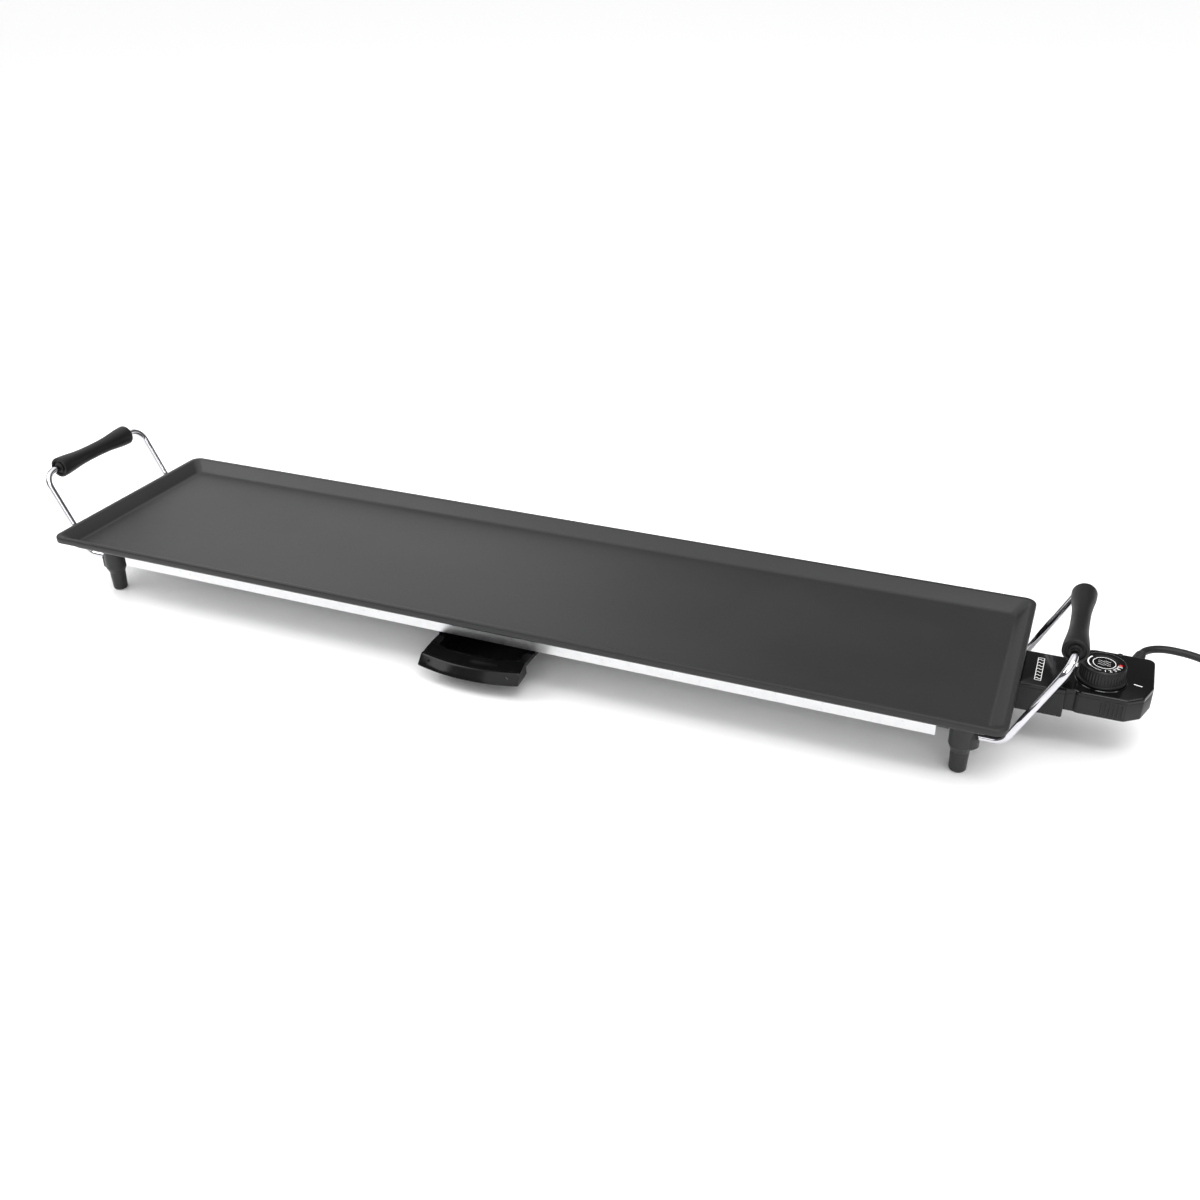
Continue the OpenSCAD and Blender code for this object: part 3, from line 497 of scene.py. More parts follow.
# The tail's points from the coil's last turn: x, y and the height off a straight slope to the plug
TAIL_STEPS = [
    (0.05, 0, 0), (0.05, -8, 0.23), (0.05, -16, 0.36), (0.25, -24, -0.3), (0.55, -32, -1.66),
    (0.95, -40, -3.13), (1.25, -48, -3.99), (1.65, -56, -3.85), (1.95, -64, -2.42),
    (2.15, -71, -0.78), (2.25, -78, 0.16), (2.25, -84, 0),
]
LEAD = [(TIP.x + x, TIP.y + y, LOW + k * (TIP.z - LOW)) for x, y, k in LEAD_STEPS]
COIL = (LEAD[-1][0], LEAD[-1][1] - COIL_R - CORD_D)
TAIL = [
    (COIL[0] + COIL_R + x, COIL[1] + y, COIL_TOP + (PLUG_R - COIL_TOP) * k / 11 + h)
    for k, (x, y, h) in enumerate(TAIL_STEPS)
]


def ease(v):
    return v * v * (3 - 2 * v)


def coil_point(t):
    """The cord in the coil after t turns: three turns below, two between, one on top."""
    d, rise = CORD_D, CORD_D * math.sqrt(3) / 2
    mid, low = COIL_R, CORD_D / 2
    slots = [
        (mid + d, low), (mid, low), (mid - d, low),
        (mid - d / 2, low + rise), (mid + d / 2, low + rise), (mid, low + 2 * rise),
    ]
    i = min(int(t), 5)
    f = t - i
    r, z = slots[i]
    hump = CROSSING_LIFT * math.sin(math.pi * (f - 0.8) / 0.2) if f > 0.8 else 0
    if i in (0, 1, 3) and f > 0.8:
        k = ease((f - 0.8) / 0.2)
        r2, z2 = slots[i + 1]
        r, z = r + (r2 - r) * k, z + (z2 - z) * k
    if i == 2:
        if f > 0.55:
            k = ease(min(1, (f - 0.55) / 0.25))
            a = math.radians(180 - 60 * k)
            r, z = slots[1][0] + d * math.cos(a), low + d * math.sin(a)
        z += hump
    if i == 4 and f > 0.55:
        k = ease(min(1, (f - 0.55) / 0.25))
        a = math.radians(60 * k)
        r, z = slots[3][0] + d * math.cos(a), low + rise + d * math.sin(a) + hump
    a = math.radians(90 - 360 * t)
    return (COIL[0] + r * math.cos(a), COIL[1] + r * math.sin(a), z)


coil_run = [coil_point(COIL_TURNS * k / COIL_POINTS) for k in range(1, COIL_POINTS)]
route = spline(LEAD, 3)[:-1] + coil_run + spline(TAIL, 3)
cord = piece(
    "mains_cord",
    swept(route, CORD_D / 2, 16),
    M_CORD,
    "thermostat",
    "cord_rubber",
    ("cord_lead", "cord_coil", "cord_tail"),
    60,
)

# Strain relief: a collar, then a tapering sleeve with flex grooves
prof = [(0.5, -1.0), (5.4, -1.0), (5.75, -0.6), (5.75, 2.6), (5.4, 3.0), (4.95, 3.0)]
for g in range(5):
    z = 4.4 + g * 3.1
    r = 5.6 - (5.6 - 4.15) * (z - 3) / 17
    prof += [(r, z - 1.0), (r + 0.12, z - 0.8), (r + 0.12, z + 0.55), (r, z + 0.75)]
    prof += [(r - GROOVE, z + 0.85), (r - GROOVE, z + 1.85)]
prof += [(4.3, 19.2), (4.15, 19.8), (3.9, 20.0), (3.3, 20.0)]
relief_turn = Matrix.Rotation(-RELIEF_A, 4, "Z") @ Matrix.Rotation(-math.pi / 2, 4, "X")
relief_turn = Matrix.Translation(RELIEF) @ relief_turn
sleeve = moved(turned(prof, 32), relief_turn)
piece("cord_sleeve", sleeve, M_CORD, "thermostat", "cord_rubber", ("strain_relief",), 40)

# Plug: a boot, a round body with two side hollows, ribs for the fingers
PLUG = Vector(TAIL[-1])
plug_turn = Matrix.Translation(PLUG) @ Matrix.Rotation(math.pi / 2, 4, "X")
boot = [(0.5, 0.0), (4.6, 0.0), (5.1, 0.5)]
for g in range(5):
    z = 2.2 + g * 3.6
    r = 5.3 + g * 0.42
    boot += [(r, z - 0.9), (r, z + 0.9), (r - GROOVE, z + 1.1), (r - GROOVE, z + 2.3)]
boot += [
    (7.4, 20.6), (7.6, 22.0), (9.6, 22.3), (10.2, 23.0), (13.2, 26.4), (16.2, 30.2), (17.6, 32.2),
    (18.3, 33.4), (PLUG_R, 34.4), (PLUG_R, 54.6), (18.3, 55.4), (17.7, 56.0), (16.9, 56.0),
]
HOLLOW_W, HOLLOW_Y, HOLLOW_Z = 4.5, 16.3, 41.0
below = [p for p in boot if p[1] < HOLLOW_Z]
boot = below + [(PLUG_R, HOLLOW_Z - 0.2), (PLUG_R, HOLLOW_Z + 0.2)] + boot[len(below):]
hollow_edges = [q + e for q in (90, 270) for e in (-14.35, -13.7, 13.7, 14.35)]
plug_angles = sorted([k * 5.0 for k in range(72)] + hollow_edges)


def plug_ring(r, z):
    """One ring of the plug body, held in at the two side hollows."""
    ring = []
    for a in plug_angles:
        x, y = r * math.cos(math.radians(a)), r * math.sin(math.radians(a))
        if z > HOLLOW_Z and abs(x) < HOLLOW_W:
            y = math.copysign(min(abs(y), HOLLOW_Y), y)
        ring.append((x, y, z))
    return ring


shell = moved(loft([plug_ring(r, z) for r, z in boot]), plug_turn)
piece("plug_shell", shell, M_CORD, "thermostat", "cord_rubber", ("plug_body",), 34)


# ---------------------------------------------------------------- carried-over CAD pieces


def dress(name, material, bevel):
    """A CAD piece kept as it is: smooth shading, a small edge rounding and a material."""
    obj = N[name]
    mesh = obj.data
    mesh.materials.clear()
    mesh.materials.append(material)
    shade(mesh, 30)
    if bevel:
        flat = obj.modifiers.new("flat", "DECIMATE")
        flat.decimate_type = "DISSOLVE"
        flat.angle_limit = math.radians(0.4)
        mod = obj.modifiers.new("edge", "BEVEL")
        mod.width = bevel * MM
        mod.segments = 2
        mod.limit_method = "ANGLE"
        mod.angle_limit = math.radians(35)
        mod.harden_normals = True


for name, material, bevel in (
    ("front_left_foot", M_BAKELITE, 0.5),
    ("front_right_foot", M_BAKELITE, 0.5),
    ("back_left_foot", M_BAKELITE, 0.5),
    ("back_right_foot", M_BAKELITE, 0.5),
    ("reflector_pan", M_SHEET, 0.25),
    ("reflector_brackets", M_BLACKSTEEL, 0.25),
    ("left_rail", M_BLACKSTEEL, 0.2),
    ("right_rail", M_BLACKSTEEL, 0.2),
    ("terminal_shroud", M_BAKELITE, 0.3),
    ("probe_sleeve", M_SHEET, 0.4),
    ("element_clamps", M_SHEET, 0.15),
    ("heating_element", M_ELEMENT, 0),
    ("terminal_pins", M_SCREW, 0.4),
    ("clamp_screws", M_SCREW, 0.2),
    ("foot_screws", M_SCREW, 0.2),
    ("rail_rivets", M_SCREW, 0.2),
    ("housing_screws", M_SCREW, 0.15),
    ("connector_nose", M_SATIN, 0.4),
    ("socket_contacts", M_BRASS, 0.2),
    ("earth_spring", M_SCREW, 0.1),
    ("probe_rod", M_ELEMENT, 0),
    ("thermostat_switch", M_CERAMIC, 0.4),
    ("terminal_block", M_CERAMIC, 0.3),
    ("knob_spindle", M_SCREW, 0.3),
    ("cord_tie", M_TIE, 0.15),
    ("plug_pins", M_SCREW, 0),
    ("plug_earth_strips", M_SCREW, 0.1),
):
    dress(name, material, bevel)

# ---------------------------------------------------------------- plate

PLATE_X, PLATE_Y, PLATE_R = 450.0, 110.0, 10.0
CY = 3.0
FOOT_X, FOOT_Y = 416.0, 69.5


def plate_ring(d, z):
    """The plate's outline, d in from its rim."""
    r = max(PLATE_R - d, 7.0)
    outline = rounded(-PLATE_X + d, PLATE_X - d, -PLATE_Y + d, PLATE_Y - d, r, 12)
    return [(x, y, z) for x, y in outline]


# The plate's section as (distance in from the rim, height): from underneath, round the rim and
# down to the cooking floor
rim = [
    (12.5, 54.5), (4.5, 62.5), (4.0, 63.0), (1.0, 63.0), (0.3, 63.25), (0.0, 63.9), (0.0, 67.4),
    (0.2, 68.2), (0.7, 68.8), (1.5, 69.0), (3.7, 69.0), (4.3, 68.85), (4.9, 68.5), (13.1, 59.55),
    (13.8, 58.9), (14.6, 58.42), (15.5, 58.1), (16.6, 58.0),
]
plate_part = loft([plate_ring(d, z) for d, z in rim])
RIB_Y, RIB_HALF, UNDER_Z = 38, 11, 55.5
ribs = []
for y in (CY - RIB_Y, CY + RIB_Y):
    ribs.append(box_part((-350, y - RIB_HALF, 51.0), (360, y + RIB_HALF, UNDER_Z), 0.8))
boss = turned([(0.5, 45), (5.6, 45), (6, 45.4), (6, UNDER_Z)], 40)
bosses = [at(boss, x, y, 0) for x in (-FOOT_X, FOOT_X) for y in (-FOOT_Y, FOOT_Y)]
slot_x, slot_y = 3.0, -92.0


def stadium(l, w, z):
    """A ring with round ends about the drain slot."""
    outline = rounded(-l / 2, l / 2, -w / 2, w / 2, w / 2 - 0.01, 8)
    return [(slot_x + x, slot_y + y, z) for x, y in outline]


COATED = (M_COAT, "griddle", "coated_aluminium")
plate = piece("cooking_plate", plate_part, *COATED, ("griddle_plate",), 25)
slot_rings = [(30, 4.4, 50), (30, 4.4, 57.3), (31.2, 5.6, 58.05), (31.2, 5.6, 62)]
cut(plate, loft([stadium(*ring) for ring in slot_rings]))
piece("plate_underside", joined(*ribs, *bosses), *COATED)
spout = piece("drain_spout", loft([stadium(33, 7.4, 53.6), stadium(33, 7.4, UNDER_Z)]), *COATED)
cut(spout, loft([stadium(30, 4.4, 50), stadium(30, 4.4, 60)]))

# Spot welds on the front of the reflector
WELDS, WELD_X0, WELD_STEP, WELD_Z, PAN_Y = 26, -330, 27.5, 45.5, -76.0
bits = []
rnd = random.Random(7)
dot = turned([(0.1, 0.35), (0.5, 0.3), (0.85, 0.12), (1.05, 0.0), (1.05, -0.2)], 20)
dot = moved(dot, Matrix.Rotation(math.pi / 2, 4, "X"))
for k in range(WELDS):
    x = WELD_X0 + k * WELD_STEP + rnd.uniform(-2, 2)
    for dz in (0,) if k % 3 else (-3.2, 3.2):
        bits.append(at(dot, x, PAN_Y, WELD_Z + dz))
piece("reflector_welds", joined(*bits), M_SHEET, "griddle", "galvanised_steel")

# ---------------------------------------------------------------- handles and grips

ARM_X, WIRE_Z, GRIP_X, GRIP_Z, WIRE_R = 446.5, 34.0, 485.5, 112.0, 3.1
ARM_A = math.atan2(GRIP_Z - WIRE_Z, GRIP_X - ARM_X)
ARM_L = math.hypot(GRIP_Z - WIRE_Z, GRIP_X - ARM_X)
LOW_R, TOP_R = 13.0, 14.0
GRIP_HALF, SEAM_HALF, GRIP_END = 49.0, 46.2, 2.6


def half_handle(s):
    """The wire from a foot, up the arm and into the grip, on the side s of the middle."""
    trim = LOW_R * math.tan(ARM_A / 2)
    pts = [(FOOT_X + 4, s * FOOT_Y, WIRE_Z)]
    for k in range(13):
        a = ARM_A * k / 12
        x, z = ARM_X - trim + LOW_R * math.sin(a), WIRE_Z + LOW_R * (1 - math.cos(a))
        pts.append((x, s * FOOT_Y, z))
    for k in range(15):
        a = math.pi / 2 * k / 14
        u = ARM_L - TOP_R + TOP_R * math.sin(a)
        y = FOOT_Y - TOP_R + TOP_R * math.cos(a)
        pts.append((ARM_X + u * math.cos(ARM_A), s * y, WIRE_Z + u * math.sin(ARM_A)))
    return pts


wire_path = half_handle(-1) + list(reversed(half_handle(1)))


def grip_r(u):
    """The grip's radius, from its middle at u = 0 to its ends at u = -1 and 1."""
    return 7.3 + 2.7 * (1 - math.cos(math.pi * abs(u) ** 1.5)) / 2


def grip_part():
    """A waisted grip about Z, from end to end, with recessed ends round the wire."""
    ends = [
        (3.15, 0.35), (3.5, 0.1), (4.8, 0.1), (5.1, 0.4), (5.2, 2.0), (7.4, 2.0),
        (7.6, 0.5), (8.0, 0.0), (9.1, 0.0), (9.7, 0.4), (10.0, 1.2), (10.0, GRIP_END),
    ]
    hub = [(r, GRIP_HALF - z) for r, z in ends]
    waist = [1 - 2 * k / 24 for k in range(1, 24)]
    waist = [(grip_r(u), u * (GRIP_HALF - GRIP_END)) for u in waist]
    mirror = [(r, -z) for r, z in reversed(hub)]
    return turned_ring(hub + waist + mirror, 72)


for s, body, wire, grip in (
    (-1, "left_grip_turns", "left_handle_wire", "left_grip"),
    (1, "right_grip_turns", "right_handle_wire", "right_grip"),
):
    path = [(s * x, y, z) for x, y, z in wire_path]
    bow = swept(path, WIRE_R, 36)
    piece(wire[:-5] + "_bow", bow, M_CHROME, "griddle", "chrome_wire", (wire,), 60)
    lay = Matrix.Translation((s * GRIP_X, 0, GRIP_Z)) @ Matrix.Rotation(-math.pi / 2, 4, "X")
    seam = []
    for side_x in (-1, 1):
        steps = [1 - k / 16 for k in range(33)]
        line = [(side_x * (grip_r(u) - 0.18), 0, u * SEAM_HALF) for u in steps]
        seam.append(swept(line, 0.16, 6))
    piece(grip + "_cover", moved(grip_part(), lay), M_GRIP, body, "grip_plastic", (grip,), 30)
    piece(grip + "_seam", moved(joined(*seam), lay), M_GRIP, body, "grip_plastic")

# ---------------------------------------------------------------- drip tray

# The tray's middle, the inside of its front wall, the outside of its back wall, how far its
# front bows out, its top and the thickness of its walls
TX, TF, TB, BOW, TRAY_TOP, WALL = 3.0, -91.5, -9.5, 7.5, 29.0, 1.8


def tray_ring(half, inset, z, n=20):
    """A ring round the tray: its outer wall at inset 0, with the front edge bowed."""
    front, back = TF - WALL + inset, TB - inset
    across = [2 * k / n - 1 for k in range(n + 1)]
    pts = [(TX + half * u, front - BOW * (1 - u * u), z) for u in across]
    return pts + [(TX + half, back, z), (TX - half, back, z)]


well_rings = [
    (39.6, 1.2, 15.2), (40.5, 0.3, 15.5), (40.8, 0.0, 16.4), (40.8, 0.0, 28.5),
    (40.4, 0.4, TRAY_TOP), (39.4, 1.4, TRAY_TOP), (39.0, WALL, 28.5), (39.0, WALL, 18.4),
    (38.5, 2.3, 17.4), (37.6, 3.2, 17.0),
]
well = loft([tray_ring(*ring) for ring in well_rings])
WING_IN, WING_OUT = 39.2, 46.8
wings = []
for x0, x1 in ((-WING_OUT, -WING_IN), (WING_IN, WING_OUT)):
    wings.append(box_part((TX + x0, TF, 27.4), (TX + x1, TB, TRAY_TOP), 0.5))
# The pull's section as (half width, distance out, height): top, ridge, lower tier, underside
profile = [
    (46.2, 1.2, 26.0), (46.3, 1.0, 28.6), (46.35, 0.6, TRAY_TOP), (46.5, -0.8, TRAY_TOP),
    (46.7, -1.8, 28.75), (47.2, -7.0, 27.6), (47.7, -12.8, 26.1), (47.8, -13.4, 26.15),
    (47.95, -14.2, 26.2), (48.1, -15.0, 25.8), (48.25, -15.8, 24.9), (48.5, -19.8, 20.2),
    (48.7, -21.6, 18.1), (48.8, -22.0, 17.4), (48.8, -21.8, 16.9), (48.7, -21.2, 16.7),
    (48.5, -18.0, 16.7), (47.5, -5.0, 16.7), (46.6, 0.8, 16.7),
]
stations = [-0.93 + 1.86 * k / 24 for k in range(25)]
stations = [-1.0, -0.995, -0.97] + stations + [0.97, 0.995, 1.0]
rings = []
for u in stations:
    edge = max(0.0, abs(u) - 0.985) / 0.015
    ring = []
    for w, dy, z in profile:
        y = TF + dy - BOW * (1 - u * u)
        if dy < -10:
            y += 0.35 * edge
        if z > 25:
            z -= 0.3 * edge
        ring.append((TX + u * w, y, z))
    rings.append(ring)
ENAMELLED = (M_ENAMEL, "tray", "black_enamel")
piece("tray_body", joined(well, *wings), *ENAMELLED, ("drip_tray",))
pull = piece("tray_pull", loft(rings), *ENAMELLED, (), 28)
cut(pull, box_part((TX - 40, TF - 21, 10), (TX + 40, TF - 11.5, 23.2), 1.0))

# ---------------------------------------------------------------- controller

# The head's left, right, front and back, the neck's end, and the split between shell and lid
HX0, HX1, HY0, HY1 = 490.5, 548.5, -22, 50.5
NECK_X0, NECK_Y0, NECK_Y1 = 448.5, -23.5, 29.5
SHELL_TOP, LID_FOOT, NECK_TOP, HEAD_TOP = 58.4, 58.6, 62.0, 62.5
NECK_FOOT, HEAD_FOOT = 37.0, 42.5
KX = 509.0
SATIN = (M_SATIN, "thermostat", "satin_black_plastic")
GLOSS = (M_GLOSS, "thermostat", "gloss_black_plastic")


def corner(v, r, a0, a1, n=6):
    """A rounded corner at v between edges that face a0 and a1 (degrees)."""
    n0 = Vector((math.cos(math.radians(a0)), math.sin(math.radians(a0))))
    n1 = Vector((math.cos(math.radians(a1)), math.sin(math.radians(a1))))
    c = Vector(v) - r * (n0 + n1) / (1 + n0.dot(n1))
    return arc(c.x, c.y, r, a0, a1, n)


def head_outline():
    """The head seen from above, with its front right corner cut in two facets."""
    return (
        corner((HX0, HY0), 6, 180, 270)
        + corner((HX1 - 18.5, HY0), 4, -90, -53.13)
        + corner((HX1 - 6.5, HY0 + 9), 4, -53.13, -18.89)
        + corner((HX1, HY0 + 28), 4, -18.89, 0)
        + corner((HX1, HY1), 6, 0, 90)
        + corner((HX0, HY1), 14, 90, 180, 12)
    )


neck = rounded(NECK_X0, 485, NECK_Y0, NECK_Y1, 1.5, 4)
waist = rounded(479, 495, -20, 17, 1.0, 4)
neck_part = pillow(neck, NECK_FOOT, SHELL_TOP, 0.8, 0.3)
waist_part = pillow(waist, 42.6, SHELL_TOP, 0.5, 0.3)
head_part = pillow(head_outline(), HEAD_FOOT, SHELL_TOP, 1.4, 0.3)
shell_head = piece("controller_shell", head_part, *SATIN, ("controller_base",))
shell_neck = piece("controller_neck", neck_part, *SATIN)
piece("controller_waist", waist_part, *SATIN)
screw_sink = turned([(3.2, -1), (3.2, 2.2)], 32)
for shell, foot, spots in (
    (shell_neck, NECK_FOOT, ((468.5, -16.5), (468.5, 22.5))),
    (shell_head, HEAD_FOOT, ((528.5, -15.5), (514.5, 43))),
):
    for x, y in spots:
        cut(shell, at(screw_sink, x, y, foot))

lid_neck = rounded(NECK_X0, 485.1, NECK_Y0, NECK_Y1, 1.6, 4)
lid_waist = rounded(480, 495, -20.2, 17.2, 1.2, 4)
collar = turned([(0.5, 62.0), (19.9, 62.0), (19.9, 63.1), (19.5, 63.5), (0.5, 63.5)], 96)
lid = joined(
    pillow(lid_neck, LID_FOOT, NECK_TOP, 0.2, 0.7),
    pillow(lid_waist, LID_FOOT, HEAD_TOP - 0.05, 0.2, 0.9),
    pillow(head_outline(), LID_FOOT, HEAD_TOP, 0.2, 1.6, 5),
    at(collar, KX, CY, 0),
)
piece("controller_lid", lid, *GLOSS, ("controller_cover",), 25)

# Finger ribs on the front wall and a clip bump at the back
RIB_X0, RIB_STEP = 512.5, 3.1
rib = turned([(0.05, 45.0), (0.7, 45.6), (0.85, 46.4), (0.85, 56.6), (0.7, 57.3), (0.05, 57.9)], 14)
finger_ribs = [at(rib, RIB_X0 + k * RIB_STEP, HY0 + 0.25, 0) for k in range(6)]
piece("controller_ribs", joined(*finger_ribs), *SATIN)
bump = [(0.3, 58.0), (2.2, 58.0), (2.4, 58.4), (2.4, 62.3), (2.0, 63.0), (1.2, 63.3), (0.3, 63.4)]
piece("controller_bump", at(turned(bump, 24), 521.5, 48.0, 0), *GLOSS)

PRINT_H = 0.08


def bar(x0, y0, x1, y1, w, z):
    """A thin printed bar lying flat."""
    d = Vector((x1 - x0, y1 - y0))
    n = Vector((-d.y, d.x)).normalized() * (w / 2)
    low = [(x0 + n.x, y0 + n.y), (x0 - n.x, y0 - n.y), (x1 - n.x, y1 - n.y), (x1 + n.x, y1 + n.y)]
    return loft([[(x, y, z) for x, y in low], [(x, y, z + PRINT_H) for x, y in low]])


def wave(pts, w, z):
    """Printed bars that join up points."""
    return [bar(*a, *b, w, z) for a, b in zip(pts, pts[1:])]


def flat_ring(r0, r1, a0, a1, z, n, h=PRINT_H):
    """A thin printed ring round the knob's axis, or part of one, with n steps to the turn."""
    n = max(3, int(n * abs(a1 - a0) / 360))
    rings = []
    for k in range(n + 1):
        a = math.radians(a0 + (a1 - a0) * k / n)
        c, s = math.cos(a), math.sin(a)
        section = ((r0, z), (r1, z), (r1, z + h), (r0, z + h))
        rings.append([(KX + r * c, CY + r * s, height) for r, height in section])
    return loft(rings)


# Neck badge: a plain framed strip with heat waves, and the index mark beside the knob
BX0, BX1, BY0, BY1 = 460.2, 465.0, -15.0, 20.5
FRAME_W, WAVES, WAVE_STEP = 0.45, 7, 4.9
marks = [
    bar(BX0, BY0, BX0, BY1, FRAME_W, NECK_TOP),
    bar(BX1, BY0, BX1, BY1, FRAME_W, NECK_TOP),
    bar(BX0 - 0.2, BY0, BX1 + 0.2, BY0, FRAME_W, NECK_TOP),
    bar(BX0 - 0.2, BY1, BX1 + 0.2, BY1, FRAME_W, NECK_TOP),
]
for k in range(WAVES):
    y0 = BY0 + 3.0 + k * WAVE_STEP
    turn = [j / 12 for j in range(13)]
    pts = [(BX0 + 0.5 + 3.8 * t, y0 + 0.7 * math.sin(2 * math.pi * t)) for t in turn]
    marks += wave(pts, 0.55, NECK_TOP)
marks.append(bar(533.4, 5.1, 539.6, 3.5, 1.1, HEAD_TOP))
piece("controller_print", joined(*marks), M_PRINT, "thermostat", "gloss_black_plastic", (), 20)

# ---------------------------------------------------------------- knob

# The knob's section as (radius, height, whether the grip's flutes are cut there)
KZ, FLUTES, STEPS_PER_FLUTE, FLUTE_DEPTH = 63.9, 48, 6, 0.42
KNOB = (
    (0.6, 0.0, 0), (18.2, 0.0, 0), (18.6, 0.3, 0), (18.75, 0.8, 0), (18.75, 1.6, 0),
    (18.5, 2.1, 0), (17.9, 2.3, 0), (17.35, 2.5, 0), (17.35, 2.9, 0), (17.5, 3.2, 1),
    (17.45, 5.0, 1), (17.3, 10.8, 1), (17.05, 11.9, 1), (16.8, 12.3, 0), (16.8, 12.7, 0),
    (17.0, 12.95, 0), (17.0, 13.3, 0), (16.7, 13.75, 0), (16.2, 13.95, 0), (15.75, 14.0, 0),
    (15.6, 13.8, 0), (15.55, 13.2, 0), (0.6, 13.2, 0),
)
rings = []
for r, z, fluted in KNOB:
    ring = []
    for k, (c, s) in enumerate(circle(FLUTES * STEPS_PER_FLUTE)):
        phase = (k % STEPS_PER_FLUTE) / STEPS_PER_FLUTE
        depth = FLUTE_DEPTH * (0.5 - 0.5 * math.cos(2 * math.pi * phase)) ** 0.7 if fluted else 0.0
        ring.append((KX + (r - depth) * c, CY + (r - depth) * s, KZ + z))
    rings.append(ring)
piece("knob_body", loft(rings), M_KNOB, "dial", "knob_plastic", ("knob",), 40)

DZ = KZ + 13.2
dial = [
    (0.5, 0.0), (15.45, 0.0), (15.45, 0.45), (15.2, 0.7), (9.6, 0.72),
    (9.3, 0.6), (8.9, 0.6), (8.6, 0.78), (0.5, 0.8),
]
dial = at(turned(dial, 96), KX, CY, DZ)
piece("dial_insert", dial, M_GLOSS, "dial", "dial_print", ("knob_dial",), 25)
PZ = DZ + 0.72
prints = [
    flat_ring(8.2, 8.75, 0, 360, PZ, 96, 0.1),
    flat_ring(11.6, 12.7, 140, 214, PZ, 160),
    flat_ring(12.0, 12.3, 214, 262, PZ, 160),
]
for k in range(9):
    a = math.radians(318 + k * 4.5)
    c, s = math.cos(a), math.sin(a)
    prints.append(bar(KX + 10.0 * c, CY + 10.0 * s, KX + 11.0 * c, CY + 11.0 * s, 0.3, PZ))
for k in range(3):
    y0 = CY - 3.0 + k * 2.9
    turn = [j / 16 for j in range(17)]
    pts = [(KX - 4.6 + 9.2 * t, y0 + 0.7 * math.sin(4 * math.pi * t)) for t in turn]
    prints += wave(pts, 0.22, PZ + PRINT_H)
piece("dial_marks", joined(*prints), M_PRINT, "dial", "dial_print", (), 20)


def glyph(text, size, x, y, z, turn):
    """A dial number as flat solid print, centred at a point."""
    font = bpy.data.curves.new("glyph", "FONT")
    font.body = text
    font.size = size
    font.extrude = 0.04
    font.align_x, font.align_y = "CENTER", "CENTER"
    tmp = place("glyph", font)
    bpy.context.view_layer.update()
    deps = bpy.context.evaluated_depsgraph_get()
    mesh = bpy.data.meshes.new_from_object(tmp.evaluated_get(deps))
    bpy.data.objects.remove(tmp, do_unlink=True)
    m = Matrix.Translation((x, y, z)) @ Matrix.Rotation(turn, 4, "Z")
    part = ([tuple(m @ v.co) for v in mesh.vertices], [tuple(p.vertices) for p in mesh.polygons])
    bpy.data.meshes.remove(mesh)
    return part


NUMBER_R, NUMBER_H = 12.3, 4.6
digits = []
for k, ch in enumerate("12345"):
    a = math.radians(276 + k * 18)
    x, y = KX + NUMBER_R * math.cos(a), CY + NUMBER_R * math.sin(a)
    digits.append(glyph(ch, NUMBER_H, x, y, PZ + 0.05, a + math.pi / 2))
piece("dial_numbers", joined(*digits), M_PRINT, "dial", "dial_print", (), 20)
lens = turned([(0.2, 0.0), (1.5, 0.0), (1.5, 0.75), (1.3, 1.05), (0.8, 1.2), (0.2, 1.24)], 32)
lens = at(lens, KX + 11.9, CY, DZ)
piece("pointer_lens", lens, M_RED, "dial", "red_lens", ("pilot_lens",), 40)

# ---------------------------------------------------------------- floor and light

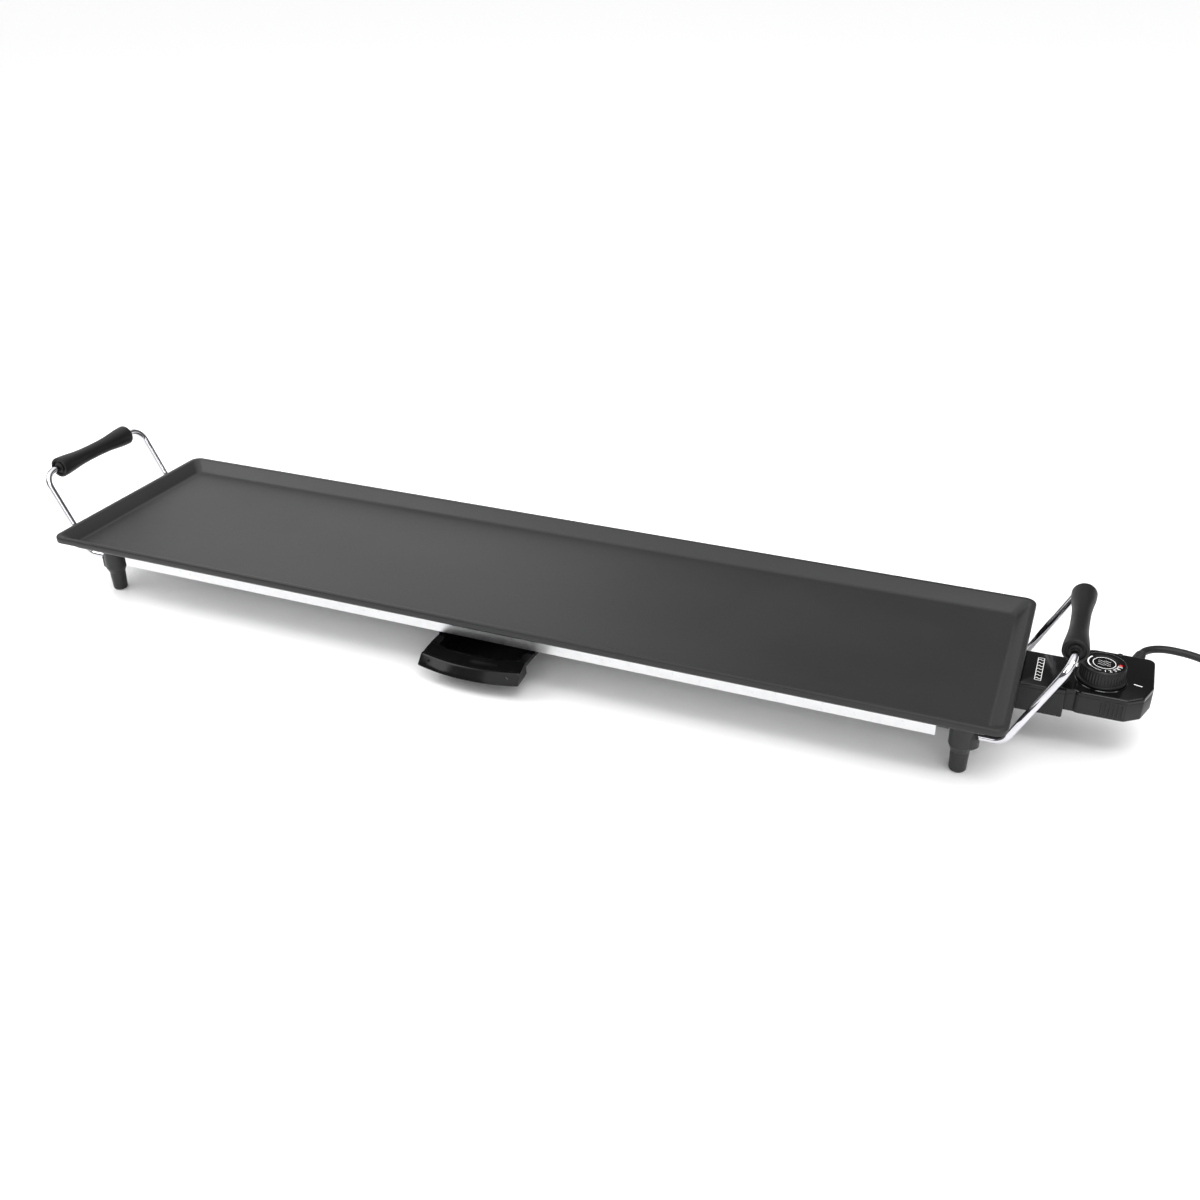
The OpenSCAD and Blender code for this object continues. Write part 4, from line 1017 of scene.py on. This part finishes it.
floor_mesh = bpy.data.meshes.new("floor")
bm = bmesh.new()
bmesh.ops.create_grid(bm, x_segments=1, y_segments=1, size=20)
bm.to_mesh(floor_mesh)
bm.free()
floor = place("floor", floor_mesh)
floor_look = Nodes("m_floor").out((0.93, 0.93, 0.93), 0.42, Specular_IOR_Level=0.35)
floor_mesh.materials.append(floor_look)
floor.location.z = -0.0002

world = bpy.data.worlds.new("world")
bpy.context.scene.world = world
world.use_nodes = True

# Dim walls and a bright ceiling, as in a studio with one wide soft box overhead
tree = world.node_tree
bg = tree.nodes["Background"]
bg.inputs["Color"].default_value = (1, 1, 1, 1)
coord = tree.nodes.new("ShaderNodeTexCoord")
split = tree.nodes.new("ShaderNodeSeparateXYZ")
level = tree.nodes.new("ShaderNodeMapRange")
for key, value in (("From Min", 0.55), ("From Max", 0.95), ("To Min", 0.15), ("To Max", 1.25)):
    level.inputs[key].default_value = value
tree.links.new(coord.outputs["Generated"], split.inputs["Vector"])
tree.links.new(split.outputs["Z"], level.inputs["Value"])
tree.links.new(level.outputs["Result"], bg.inputs["Strength"])


def sun_light(name, direction, strength, spread):
    """A very large soft light far away."""
    data = bpy.data.lights.new(name, "SUN")
    data.energy = strength
    data.angle = math.radians(spread)
    place(name, data).rotation_euler = Vector(direction).to_track_quat("-Z", "Y").to_euler()


def soft_light(name, where, target, size, power):
    """A soft box that shines at a point."""
    data = bpy.data.lights.new(name, "AREA")
    data.shape = "RECTANGLE"
    data.size, data.size_y = size
    data.energy = power
    obj = place(name, data)
    obj.location = where
    obj.rotation_euler = (Vector(target) - Vector(where)).to_track_quat("-Z", "Y").to_euler()


sun_light("top", (0.1, -0.14, -0.98), 0.7, 80)
sun_light("front", (-0.35, 0.65, -0.68), 2.2, 70)
soft_light("sheen", (-1.9, 2.3, 1.35), (-0.12, 0.0, 0.06), (2.2, 2.0), 18)
soft_light("edge", (0.66, -0.78, 1.4), (0.5, 0.0, 0.06), (0.7, 0.2), 4.5)
soft_light("nose", (1.43, -0.12, 0.84), (0.52, -0.02, 0.06), (0.22, 0.22), 1.3)
soft_light("fill", (-1.4, -0.7, 1.55), (-0.3, 0.1, 0.06), (1.2, 1.2), 24)

bpy.context.scene.view_settings.view_transform = "Standard"
